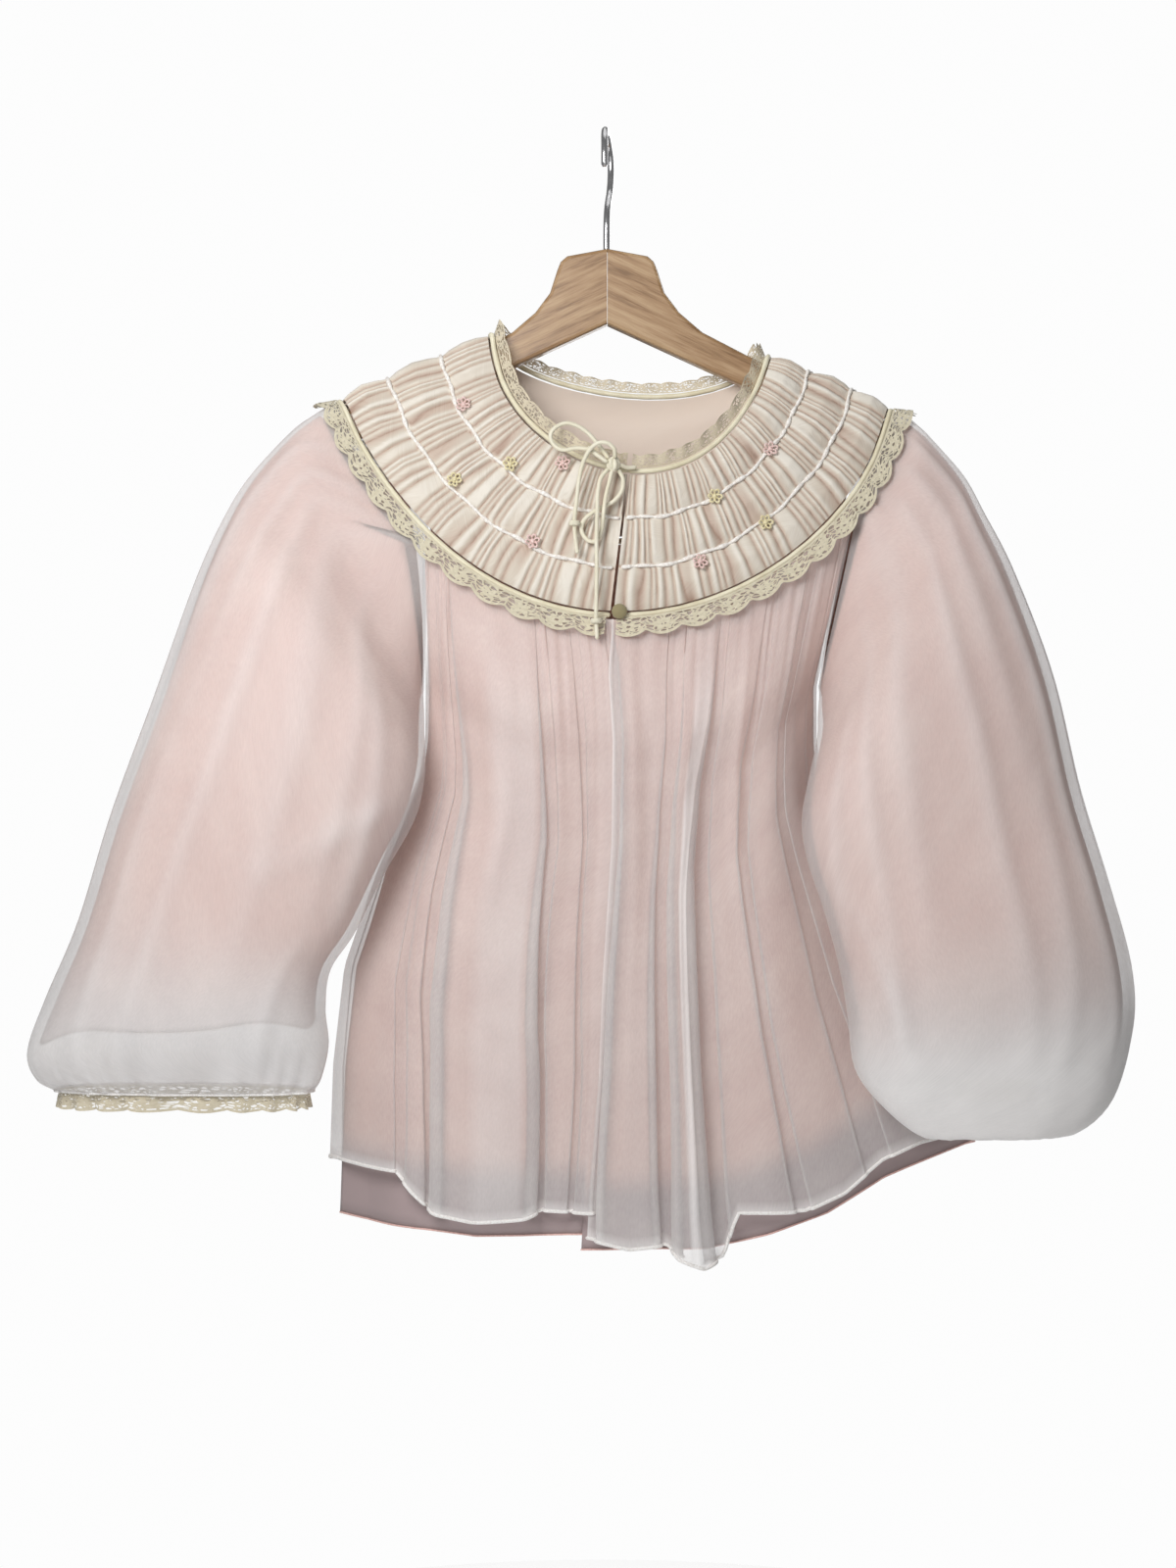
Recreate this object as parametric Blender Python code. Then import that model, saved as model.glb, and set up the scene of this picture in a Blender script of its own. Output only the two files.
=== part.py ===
"""Babydoll top of sheer chiffon over a blush lining, hung on a wooden hanger.

Lengths in the tables are millimetres; the meshes are made in metres. +X is the right of the front view, +Z is up and
the front looks along -Y. The origin is the inside top of the hook, where the hanger hangs on a rail.
"""
import math
from collections import namedtuple

import bmesh
import bpy
import numpy as np

MM = 0.001

# Cloth
CHIFFON = 1.0            # wall of the chiffon
LINING = 1.0             # wall of the lining
LACE = 1.0               # wall of the lace
SEAM_GAP = 0.6           # half the clearance between two pieces that are sewn together
ARMHOLE_GAP = 1.2        # how far the sleeves stay clear of the raglan line
SIDE_SEAM_GAP = 1.5      # half the clearance at the side seams, where the walls turn edge to edge
PIPING_RADIUS = 1.6
CORD_RADIUS = 1.25       # satin cord of the bow
UNEVEN_LEAST = 0.7       # the lowest gather's share of the height that a table gives

# Hanger
ARM_THICKNESS = 12.0
ARM_BEVEL = 2.2
HANGER_X = 1.0           # the middle of the hanger
HOOK_WIRE_RADIUS = 2.0
HOOK_RADIUS = 19.0       # centreline of the hook's round part

# Half outline of the hanger, from the middle outwards along the top and back along the lower edge
HangerPoint = namedtuple("HangerPoint", "x z")
HANGER_TOP = [HangerPoint(*row) for row in (
    (0.0, -71.0), (24.5, -75.5), (28.5, -79.0), (30.5, -84.0), (35.0, -98.0), (44.0, -110.0), (58.0, -122.0),
    (86.0, -136.5), (148.0, -165.0), (178.0, -181.0), (190.0, -188.0), (194.0, -192.5),
)]
HANGER_UNDER = [HangerPoint(*row) for row in ((194.0, -199.5), (190.0, -204.0), (0.0, -117.0))]
MITRE_HALF = 0.15        # half the gap of the joint in the middle

# Hook: its shank from the wood up and back to the round part, and how far the round part leans to the right
ShankPoint = namedtuple("ShankPoint", "x y z")
HOOK_SHANK = [ShankPoint(*row) for row in (
    (0.6, 0.0, -70.7), (0.6, 0.0, -62.0), (0.7, 0.3, -53.0), (1.1, 3.0, -45.0), (1.8, 8.5, -38.5), (2.6, 14.0, -32.5),
)]
HookLean = namedtuple("HookLean", "angle x")
HOOK_LEAN = [HookLean(*row) for row in ((-25, 3.2), (10, 3.5), (90, 0.0), (130, -0.8), (200, -0.8))]
HOOK_ANGLES = range(-22, 200, 20)
HOOK_STEP = 6.5          # distance between points along the wire

# Yoke: a ring at the neck and a ring at the seam, each a row
Ring = namedtuple("Ring", "centre_x half_width front_y back_y clearance front_drop back_drop power power_tilt")
NECK_RING = Ring(14.7, 85.0, 34.0, 24.0, 3.2, 78.0, 24.0, 1.02, 0.20)
SEAM_RING = Ring(5.7, 169.5, 36.0, 29.0, 6.5, 127.0, 76.0, 1.25, -0.15)
ROUNDNESS = 0.8          # how boxy the yoke is where it turns over the hanger's arms
FLAT_OVER_ARM = 8.5      # the yoke stays level over the arm as far as this, to each side
SLIT = 90.8              # angle of the front slit
SLIT_HALF = 0.35
SHOULDER_HALF = 0.12     # half the gap between front and back yoke on the shoulder
OVER_ARM_BLEND = 0.25    # share of the turn in which the yoke leaves the arm's level
YOKE_RISE = 0.3          # the outer side of the yoke over its base, between two gathers
YOKE_LINING_DEPTH = 1.2  # the outer side of the yoke's lining below the base
PIPING_RISE = 0.9        # middle of the piping over the base

# Yoke rows from neck to seam: puff of the band and height of the gathers, over the base surface
YokeRow = namedtuple("YokeRow", "u puff gather")
YOKE_ROWS = [YokeRow(*row) for row in (
    (0.028, 0.0, 0.9), (0.165, 2.2, 1.6), (0.33, 0.3, 0.7), (0.505, 2.4, 1.8), (0.68, 0.3, 0.7), (0.84, 2.2, 1.6),
    (0.972, 0.0, 0.9),
)]
GATHERS_FRONT = 21       # on each front half of the yoke
GATHERS_BACK = 42
GATHER_SPREAD = 0.5      # how much the gathers of the yoke differ in height

# Where the front and back meet the sleeves on the yoke seam, and the underarms
RAGLAN_LEFT = 131.6
RAGLAN_RIGHT = 31.0
RAGLAN_CLOSING = 2.2
SEAM_START = 1.028       # first row of the body and sleeves, past the piping
SEAM_WIDER = 1.014       # half width of that row over the seam ring's
SEAM_RISE = 0.5          # the body's first row over the base
SidePoint = namedtuple("SidePoint", "z x y")
SIDE_LEFT = [SidePoint(*row) for row in (
    (-341.0, -110.0, -2.0), (-370.0, -110.5, 2.0), (-392.0, -114.0, 5.0), (-450.0, -140.0, 9.0),
    (-510.0, -161.0, 11.0), (-570.0, -168.0, 12.0), (-680.0, -172.0, 13.0),
)]
SIDE_RIGHT = [SidePoint(*row) for row in (
    (-338.0, 129.0, -1.0), (-370.0, 129.5, 3.0), (-392.0, 132.0, 5.0), (-420.0, 142.0, 6.0), (-500.0, 176.0, 9.0),
    (-560.0, 208.0, 10.0), (-620.0, 236.0, 10.0), (-680.0, 246.0, 10.0),
)]
OPENING = [SidePoint(*row) for row in (
    (-302.0, 3.3, 0.0), (-374.0, 7.8, 0.0), (-434.0, 7.2, 0.0), (-513.0, 2.0, 0.0), (-571.0, -0.4, 0.0),
    (-640.0, -6.0, 0.0), (-700.0, -9.0, 0.0),
)]
DepthPoint = namedtuple("DepthPoint", "z depth")
DEPTH_FRONT = [DepthPoint(*row) for row in (
    (-245.0, 4.0), (-300.0, 12.0), (-345.0, 30.0), (-400.0, 40.0), (-500.0, 47.0), (-700.0, 54.0),
)]
DEPTH_BACK = [DepthPoint(*row) for row in (
    (-210.0, 4.0), (-300.0, 16.0), (-345.0, 26.0), (-400.0, 28.0), (-500.0, 28.0), (-700.0, 30.0),
)]
SIDE_ROLL = 60.0         # width over which the body rounds away to its side
ROLL_LEAST = 24.0        # the same on the right front, at its narrowest
FLARE_FROM = 95.0        # the right front lies back behind the sleeve from here
MIDDLE_HEM_Z = -640.0    # lower end of a front's far edge line
DEPTH_FROM_SEAM = 0.22   # share of the height in which the body takes up its depth
FOLDS_FROM_SEAM = 0.16   # the same for its folds
SIDES_APART = (0.10, 0.15)   # from this share of the height, and over this much more, the side seams stand apart

# The fronts at the opening: each edge moves across from clear to shut, and the right one lies on the left
OPENING_CLEAR = 0.8
SHUT_LEFT = 3.0
SHUT_RIGHT = 4.0
LIFT_RIGHT = 5.0
SHUT_SHARES = (0.08, 0.30)
LIFT_SHARE = 0.12

# Lining of the body, inside the chiffon
LINING_INSET = 7.0
LINING_EDGE_IN = 7.5
LINING_AT_SEAM = 1.9
LINING_FROM_SEAM = 0.2   # share of the height in which the lining takes up its inset
LINING_OPENING = 1.0
LINING_FOLDS = 0.15      # its folds' height over the chiffon's

# Folds of the body: middle and half width as shares of the panel, rise in millimetres at the yoke and at the hem
Fold = namedtuple("Fold", "top_at top_half hem_at hem_half top_rise hem_rise")
FOLDS_FRONT_LEFT = [Fold(*row) for row in (
    (0.05, 0.06, 0.150, 0.110, 0.5, 2.0), (0.12, 0.06, 0.345, 0.045, 1.5, 5.5), (0.30, 0.16, 0.585, 0.165, 3.0, 12.5),
    (0.62, 0.10, 0.820, 0.060, 2.5, 4.0), (0.86, 0.08, 0.930, 0.055, 2.0, 6.0),
)]
FOLDS_FRONT_RIGHT = [Fold(*row) for row in (
    (0.10, 0.09, 0.100, 0.085, 1.5, 8.0), (0.36, 0.06, 0.275, 0.062, 4.0, 17.0), (0.58, 0.06, 0.440, 0.070, 3.0, 6.0),
    (0.79, 0.06, 0.610, 0.070, 2.5, 3.0), (0.93, 0.04, 0.820, 0.070, 0.5, 2.5),
)]
FOLDS_BACK = [Fold(*row) for row in (
    (0.06, 0.04, 0.07, 0.040, 1.0, 4.0), (0.17, 0.05, 0.19, 0.050, 2.5, 10.0), (0.30, 0.04, 0.31, 0.038, 2.0, 6.0),
    (0.42, 0.05, 0.43, 0.055, 2.5, 12.0), (0.56, 0.04, 0.56, 0.040, 2.0, 7.0), (0.68, 0.05, 0.68, 0.050, 2.5, 11.0),
    (0.81, 0.04, 0.80, 0.045, 2.0, 8.0), (0.93, 0.04, 0.92, 0.040, 1.0, 5.0),
)]
GATHER_RISE = 1.1        # small gathers at the yoke seam, which fade out below it
GATHER_FADE = 0.30

# Height of the hems, from the first edge of each panel to the last
HemPoint = namedtuple("HemPoint", "at z")
HEM_FRONT_LEFT = [HemPoint(*row) for row in (
    (0.0, -627.0), (0.27, -629.0), (0.33, -640.0), (0.41, -652.0), (0.56, -657.0), (0.74, -655.0), (0.80, -651.0),
    (1.0, -653.0),
)]
HEM_FRONT_RIGHT = [HemPoint(*row) for row in (
    (0.0, -667.0), (0.10, -673.0), (0.19, -671.0), (0.22, -678.0), (0.28, -683.0), (0.33, -678.0), (0.36, -652.0),
    (0.53, -652.0), (0.63, -642.0), (0.73, -624.0), (0.83, -615.0), (1.0, -609.0),
)]
HEM_BACK = [HemPoint(*row) for row in (
    (0.0, -628.0), (0.15, -640.0), (0.50, -648.0), (0.80, -636.0), (1.0, -610.0),
)]
LINING_HEM_FRONT_LEFT = [HemPoint(*row) for row in ((0.0, -662.0), (0.35, -664.0), (0.55, -668.0), (1.0, -667.0))]
LINING_HEM_FRONT_RIGHT = [HemPoint(*row) for row in (
    (0.0, -676.0), (0.30, -675.0), (0.45, -667.0), (0.60, -655.0), (0.75, -636.0), (0.88, -626.0), (1.0, -617.0),
)]
LINING_HEM_BACK = [HemPoint(*row) for row in ((0.0, -662.0), (0.30, -664.0), (0.70, -655.0), (1.0, -618.0))]

# Sleeves: each row is a ring from the outer edge to the inner edge of the sleeve as seen from the front
SleeveRow = namedtuple("SleeveRow", "outer_x outer_z outer_y inner_x inner_z inner_y half_depth turned",
                       defaults=(0.0,))
SLEEVE_LEFT = [SleeveRow(*row) for row in (
    (-190.8, -182.3, 0.0, -112.6, -351.4, -8.0, 31.0), (-213.0, -206.5, -3.0, -112.2, -369.6, -19.0, 37.0),
    (-227.5, -232.0, -12.0, -112.0, -389.2, -26.0, 41.0), (-245.2, -274.3, -20.0, -118.0, -416.8, -30.0, 42.0),
    (-269.9, -348.5, -28.0, -133.3, -449.8, -30.0, 44.0), (-294.6, -415.7, -28.0, -150.9, -486.3, -28.0, 45.0),
    (-314.6, -480.4, -28.0, -166.2, -509.9, -28.0, 46.0), (-334.6, -526.4, -28.0, -169.2, -533.4, -28.0, 46.0),
    (-345.8, -557.0, -28.0, -167.4, -554.0, -28.0, 43.0), (-340.5, -573.5, -28.0, -172.1, -573.5, -28.0, 34.0),
    (-328.8, -580.8, -28.0, -177.7, -581.9, -28.0, 25.0),
)]
SLEEVE_RIGHT = [SleeveRow(*row) for row in (
    (196.2, -184.5, 0.0, 131.2, -350.0, -9.0, 31.0), (216.6, -208.9, -3.0, 129.8, -367.5, -24.0, 37.0),
    (228.1, -234.5, -14.0, 123.6, -391.2, -41.0, 40.0), (243.6, -271.4, -28.0, 118.4, -418.3, -53.0, 40.0),
    (263.9, -333.8, -42.0, 120.7, -447.0, -58.0, 40.0), (278.0, -400.9, -50.0, 128.8, -473.0, -58.0, 41.0),
    (292.6, -453.9, -58.0, 137.4, -504.7, -58.0, 42.0), (306.4, -504.7, -58.0, 142.6, -534.1, -58.0, 42.0),
    (307.6, -542.2, -58.0, 147.2, -566.4, -58.0, 40.0), (296.1, -582.6, -58.0, 165.1, -589.5, -58.0, 34.0),
    (273.8, -602.0, -58.0, 185.3, -603.8, -58.0, 26.0, 0.4), (256.5, -596.1, -58.0, 199.7, -597.3, -58.0, 18.0, 0.9),
    (251.9, -582.4, -58.0, 203.8, -583.6, -58.0, 16.0, 1.0),
)]
SLEEVE_COLUMNS = 32      # points round a sleeve, two to a gather
RAGLAN_TURN = 75.0       # half the turn of a sleeve that is sewn to the yoke
SLEEVE_SEAM_RISE = 0.4   # the sleeve's first ring over the yoke's base
SHOULDER_RING = (1.14, 0.6)  # place and rise of its second ring over the shoulder
SHOULDER_SHARE = 0.22    # place of the second ring from the first to the third, under the arm
SLEEVE_SPREAD = 0.6      # how much its gathers differ in height
SleeveGather = namedtuple("SleeveGather", "share rise")
SLEEVE_GATHERS = [SleeveGather(*row) for row in (
    (0.0, 1.0), (0.10, 1.3), (0.35, 1.2), (0.70, 0.8), (0.90, 1.5), (1.0, 1.4),
)]
LINING_SLEEVE_ROWS = [1, 2, 3, 4, 5, 6, 7, 8, 9]
LINING_SLEEVE_INSET = [1.6, 1.7, 2.4, 3.2, 4.0, 5.0, 5.0, 5.0, 6.0]

# Lace: depth and number of waves, how far it starts past its seam and stands off it, its wave, and how deep it is
# where two waves meet
NECK_LACE_DEPTH = 9.5
NECK_LACE_WAVES = 32
NECK_LACE_START = 0.5
NECK_LACE_OFF = 0.4
NECK_LACE_LEAN = (0.80, 0.60)    # upwards and outwards
NECK_LACE_WAVE = 1.0
NECK_LACE_LEAST = 0.86
YOKE_LACE_DEPTH = 12.0
YOKE_LACE_SCALLOPS = 52
YOKE_LACE_START = 0.4
YOKE_LACE_OFF = (2.5, 6.0)       # at its seam and at its edge
YOKE_LACE_WAVE = 0.5
YOKE_LACE_LEAST = 0.74
CUFF_LACE_DEPTH = 10.5
CUFF_LACE_WAVES = 18
CUFF_LACE_OFF = 0.5
CUFF_LACE_WAVE = 1.6
CUFF_LACE_LEAST = 0.85

# Embroidered flowers: angle round the yoke, place from neck to seam, and height of the flower's back over the base
Flower = namedtuple("Flower", "name angle u back colour")
FLOWERS = [Flower(*row) for row in (
    ("flower_1", 153.0, 0.29, 2.9, "pink"), ("flower_2", 129.0, 0.29, 3.1, "yellow"),
    ("flower_3", 62.0, 0.33, 2.5, "yellow"), ("flower_4", 40.0, 0.33, 2.7, "pink"),
    ("flower_5", 136.0, 0.63, 3.1, "yellow"), ("flower_6", 112.0, 0.65, 2.6, "pink"),
    ("flower_7", 71.0, 0.73, 3.5, "pink"), ("flower_8", 53.0, 0.70, 2.9, "yellow"),
    ("flower_9", 115.0, 0.09, 4.0, "pink"),
)]
FLOWER_RADIUS = 5.0
FLOWER_HEIGHT = 3.0
FLOWER_STEP = (1.7, 0.66)    # rise and size of the ring inside the petals' edge
FLOWER_NOTCH = 0.72          # reach between two petals
FLOWER_POINTS = 10

# Bow: the knot, and the routes of the cords from the knot, in x, y, z
KNOT = (4.3, -45.5, -208.0)
KNOT_RADIUS = 4.4
BOW_ROUTES = {
    "bow_lead_left": ((0.0, -43.5, -206.4), (-6.0, -41.0, -201.5), (-10.0, -39.5, -197.5)),
    "bow_lead_right": ((8.6, -43.6, -208.4), (13.0, -41.0, -209.5), (17.0, -39.5, -209.0)),
    "bow_loop_upper": (
        (0.9, -44.6, -203.7), (-4.0, -44.0, -197.0), (-9.5, -43.5, -190.5), (-16.0, -43.5, -185.5),
        (-23.6, -43.0, -183.2), (-30.5, -43.0, -186.0), (-33.2, -43.5, -191.0), (-31.0, -44.5, -196.5),
        (-25.5, -45.5, -199.6), (-18.0, -46.5, -198.6), (-10.5, -47.5, -199.5), (-4.5, -48.5, -203.5),
        (0.0, -48.2, -206.6),
    ),
    "bow_tail_short": (
        (5.2, -48.5, -203.6), (4.6, -50.5, -199.5), (0.6, -51.5, -196.2), (-5.2, -51.8, -196.4),
        (-10.4, -51.5, -201.0), (-14.2, -50.5, -209.0), (-16.4, -48.5, -219.0), (-17.6, -46.8, -230.0),
        (-18.9, -45.6, -241.0), (-18.4, -45.2, -251.0), (-17.2, -45.0, -260.0),
    ),
    "bow_loop_lower": (
        (7.6, -44.2, -211.6), (10.0, -43.6, -216.5), (9.2, -43.0, -223.5), (4.9, -43.0, -229.2),
        (-1.8, -43.0, -233.0), (-8.5, -43.0, -236.6), (-13.7, -43.0, -241.8), (-14.4, -43.0, -248.0),
        (-10.4, -43.2, -253.2), (-5.4, -43.8, -252.8), (-2.6, -45.0, -246.0), (-1.6, -46.4, -237.0),
        (-0.4, -47.2, -228.0), (1.6, -47.4, -219.5), (3.2, -47.0, -212.9),
    ),
    "bow_tail_long": (
        (0.6, -46.8, -211.4), (-3.4, -48.0, -217.0), (-5.0, -49.0, -226.0), (-5.4, -49.6, -238.0),
        (-5.8, -49.4, -252.0), (-5.6, -48.4, -268.0), (-5.8, -47.2, -284.0), (-6.0, -46.4, -297.5),
        (-5.4, -46.0, -311.0),
    ),
}
CORD_STEP = 6.2          # distance between points along a cord
Bead = namedtuple("Bead", "name x y z")
BEADS = [Bead("bead_short", -18.85, -45.5, -243.0), Bead("bead_long", -5.95, -46.25, -301.0)]
BEAD_RING = 2.75
BEAD_TUBE = 0.95
BEAD_POINTS = (9, 5)     # round the ring and round its section
BEAD_TALLER = 1.3
BUTTON = (7.9, -41.8, -295.0)
BUTTON_SIZE = (4.6, 2.8, 4.6)

COLOURS = {
    "chiffon": (0.86, 0.80, 0.74), "lining": (0.93, 0.72, 0.66), "lace": (0.87, 0.81, 0.62),
    "piping": (0.92, 0.88, 0.70), "pink": (0.90, 0.66, 0.62), "yellow": (0.90, 0.82, 0.52),
    "button": (0.62, 0.57, 0.38), "wood": (0.62, 0.40, 0.22), "steel": (0.72, 0.72, 0.74),
}
Finish = namedtuple("Finish", "roughness metallic")
FINISHES = {"steel": Finish(0.18, 1.0), "wood": Finish(0.45, 0.0), "piping": Finish(0.40, 0.0),
            "lining": Finish(0.50, 0.0)}
MATT = Finish(0.8, 0.0)


def clear_scene():
    for item in list(bpy.data.objects):
        bpy.data.objects.remove(item, do_unlink=True)


def material(slot):
    """The material of one slot, made once."""
    made = bpy.data.materials.get(slot)
    if made is None:
        made = bpy.data.materials.new(slot)
        made.use_nodes = True
        shader = made.node_tree.nodes["Principled BSDF"]
        finish = FINISHES.get(slot, MATT)
        shader.inputs["Base Color"].default_value = (*COLOURS[slot], 1.0)
        shader.inputs["Roughness"].default_value = finish.roughness
        shader.inputs["Metallic"].default_value = finish.metallic
    return made


def add_mesh(name, points, faces, slot, smooth=True):
    """One closed body from points in millimetres; its faces are turned outwards."""
    mesh = bpy.data.meshes.new(name)
    mesh.from_pydata([tuple(MM * float(value) for value in point) for point in points], [], faces)
    shape = bmesh.new()
    shape.from_mesh(mesh)
    bmesh.ops.recalc_face_normals(shape, faces=shape.faces[:])
    bmesh.ops.triangulate(shape, faces=shape.faces[:], quad_method="SHORT_EDGE")
    shape.to_mesh(mesh)
    shape.free()
    if smooth:
        mesh.shade_smooth()
        mesh.set_sharp_from_angle(angle=math.radians(50))
    mesh.materials.append(material(slot))
    item = bpy.data.objects.new(name, mesh)
    bpy.context.scene.collection.objects.link(item)
    return item


def mix(a, b, share):
    return a + (b - a) * share


def ease(share):
    """Smooth step from 0 to 1."""
    share = min(1.0, max(0.0, share))
    return share * share * (3.0 - 2.0 * share)


def read(rows, at):
    """Every later column of a table, read at a value of its first column."""
    rows = sorted(tuple(row) for row in rows)
    keys = [row[0] for row in rows]
    values = [float(np.interp(at, keys, [row[i] for row in rows])) for i in range(1, len(rows[0]))]
    return values[0] if len(values) == 1 else values


def normals(grid):
    """Unit normals of a grid of points, from its neighbours."""
    cross = np.cross(np.gradient(grid, axis=1), np.gradient(grid, axis=0))
    return cross / np.linalg.norm(cross, axis=2, keepdims=True)


def strip(first, second):
    """Triangles between two rows of point numbers that may differ in count."""
    faces = []
    i = j = 0
    while i < len(first) - 1 or j < len(second) - 1:
        next_first = (i + 1) / (len(first) - 1) if i < len(first) - 1 else 2.0
        next_second = (j + 1) / (len(second) - 1) if j < len(second) - 1 else 2.0
        if next_first <= next_second:
            faces.append((first[i], first[i + 1], second[j]))
            i += 1
        else:
            faces.append((first[i], second[j + 1], second[j]))
            j += 1
    return faces


def add_wall(name, outer, inner, slot, closed=False):
    """A wall between an outer and an inner grid of points, joined along their edges.

    The grids may differ in rows and columns. A closed wall is a tube, open at its first and last row.
    """
    points = [*outer.reshape(-1, 3), *inner.reshape(-1, 3)]
    faces = []
    numbers = []
    start = 0
    for grid in (outer, inner):
        rows, columns = grid.shape[:2]
        number = [[start + r * columns + c for c in range(columns)] for r in range(rows)]
        if closed:
            number = [row + row[:1] for row in number]
        numbers.append(number)
        start += rows * columns
        for upper, lower in zip(number, number[1:]):
            for c in range(len(upper) - 1):
                faces.append((upper[c], upper[c + 1], lower[c + 1], lower[c]))
    first, second = numbers
    faces += strip(first[0], second[0])
    faces += strip(first[-1], second[-1])
    if not closed:
        faces += strip([row[0] for row in first], [row[0] for row in second])
        faces += strip([row[-1] for row in first], [row[-1] for row in second])
    return add_mesh(name, points, faces, slot)


def arm_top(x):
    """Height of the hanger's upper edge."""
    return float(np.interp(abs(x - HANGER_X), [p.x for p in HANGER_TOP], [p.z for p in HANGER_TOP]))


def yoke_base(angle, u):
    """The plain surface under the yoke's gathers; angle 0 is the right shoulder and 90 the front."""
    ring = Ring(*(mix(a, b, u) for a, b in zip(NECK_RING, SEAM_RING)))
    c = math.cos(math.radians(angle))
    s = math.sin(math.radians(angle))
    front = s > 0
    turn = abs(s)
    x = ring.centre_x + ring.half_width * c
    y = -math.copysign(ring.front_y if front else ring.back_y, s) * turn ** ROUNDNESS
    shoulders = mix(arm_top(ring.centre_x - ring.half_width), arm_top(ring.centre_x + ring.half_width), (1 + c) / 2)
    flat = (FLAT_OVER_ARM / (ring.front_y if front else ring.back_y)) ** (1 / ROUNDNESS)
    over_arm = 1.0 - ease((turn - flat) / OVER_ARM_BLEND)
    level = mix(shoulders, arm_top(x), over_arm)
    fall = max(0.0, (turn - flat) / (1.0 - flat)) ** (ring.power + ring.power_tilt * c)
    drop = (ring.front_drop if front else ring.back_drop) * fall
    return np.array((x, y, level + ring.clearance - drop))


def yoke_frame(angle, u):
    """Outward normal and direction towards the neck, at a place on the yoke."""
    around = yoke_base(angle + 1.0, u) - yoke_base(angle - 1.0, u)
    down = yoke_base(angle, u + 0.02) - yoke_base(angle, u - 0.02)
    outward = np.cross(around, down)
    return outward / np.linalg.norm(outward), -down / np.linalg.norm(down)


def yoke_point(angle, u, rise):
    return yoke_base(angle, u) + rise * yoke_frame(angle, u)[0]


def unevenness(number):
    """A fixed value from 0 to 1 that differs from one gather to the next."""
    return 0.5 + 0.5 * math.sin(number * 2.4 + 1.3 * math.sin(number * 1.7))


def make_yoke_piece(name, start, end, gathers):
    """One shirred piece of the yoke: puffed bands and gathers outside over a plain inside."""
    columns = np.linspace(start, end, 2 * gathers + 1)
    outer = []
    for row in YOKE_ROWS:
        line = []
        for number, angle in enumerate(columns):
            crest = number % 2
            height = UNEVEN_LEAST + GATHER_SPREAD * unevenness(number)
            rise = YOKE_RISE + row.puff + crest * row.gather * height
            line.append(yoke_point(angle, row.u, rise))
        outer.append(line)
    inner = [[yoke_point(angle, row.u, YOKE_RISE - CHIFFON) for angle in columns[::2]] for row in YOKE_ROWS[::2]]
    add_wall(name, np.array(outer), np.array(inner), "chiffon")


def ring_angles():
    """Angles round the yoke from one side of the slit to the other, closer together over the shoulders."""
    quarter = [0.0, 4.3, 8.6, 13.0, 20.0, 28.0, 37.0, 47.0, 58.0, 69.0, 80.0, 90.0]
    half = quarter + [180.0 - value for value in quarter[-2::-1]]
    whole = [value - 180.0 for value in half[:-1]] + half
    back = [value for value in whole if -180.0 < value < 0.0]
    front_right = [value for value in half if value < 90.0]
    front_left = [value - 360.0 for value in half if value > 91.0]
    middle = front_left + back + front_right
    return [SLIT - 360.0 + 2 * SLIT_HALF, *middle, SLIT - 2 * SLIT_HALF]


def make_yoke_lining():
    rows = (YOKE_ROWS[0].u, 0.5, YOKE_ROWS[-1].u)
    outer = [[yoke_point(angle, u, -YOKE_LINING_DEPTH) for angle in ring_angles()] for u in rows]
    inner = [[yoke_point(angle, u, -YOKE_LINING_DEPTH - LINING) for angle in ring_angles()] for u in rows]
    add_wall("yoke_lining", np.array(outer), np.array(inner), "lining")


def make_yoke():
    make_yoke_piece("yoke_front_right", SHOULDER_HALF, SLIT - SLIT_HALF, GATHERS_FRONT)
    make_yoke_piece("yoke_front_left", SLIT + SLIT_HALF, 180.0 - SHOULDER_HALF, GATHERS_FRONT)
    make_yoke_piece("yoke_back", 180.0 + SHOULDER_HALF, 360.0 - SHOULDER_HALF, GATHERS_BACK)
    make_yoke_lining()


def add_tube(name, points, radius, slot, sides_level):
    """A round cord along a list of points, with filled ends."""
    curve = bpy.data.curves.new(name, "CURVE")
    curve.dimensions = "3D"
    curve.bevel_depth = radius * MM
    curve.bevel_resolution = sides_level
    curve.use_fill_caps = True
    curve.render_resolution_u = 0
    spline = curve.splines.new("POLY")
    spline.points.add(len(points) - 1)
    for target, point in zip(spline.points, points):
        target.co = (*(MM * float(value) for value in point), 1.0)
    spline.use_smooth = True
    curve.materials.append(material(slot))
    item = bpy.data.objects.new(name, curve)
    bpy.context.scene.collection.objects.link(item)
    return item


def smooth_route(route, step):
    """Points at even steps along a smooth curve through the route's own points."""
    stops = [np.array(point, float) for point in route]
    stops = [2 * stops[0] - stops[1], *stops, 2 * stops[-1] - stops[-2]]
    fine = []
    for a, b, c, d in zip(stops, stops[1:], stops[2:], stops[3:]):
        for t in np.linspace(0.0, 1.0, 12, endpoint=False):
            fine.append(0.5 * (2 * b + (c - a) * t + (2 * a - 5 * b + 4 * c - d) * t ** 2
                               + (3 * b - a - 3 * c + d) * t ** 3))
    fine.append(stops[-2])
    fine = np.array(fine)
    travelled = np.concatenate([[0.0], np.cumsum(np.linalg.norm(np.diff(fine, axis=0), axis=1))])
    count = max(3, round(travelled[-1] / step) + 1)
    places = np.linspace(0.0, travelled[-1], count)
    return np.array([[np.interp(at, travelled, fine[:, axis]) for axis in range(3)] for at in places])


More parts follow.
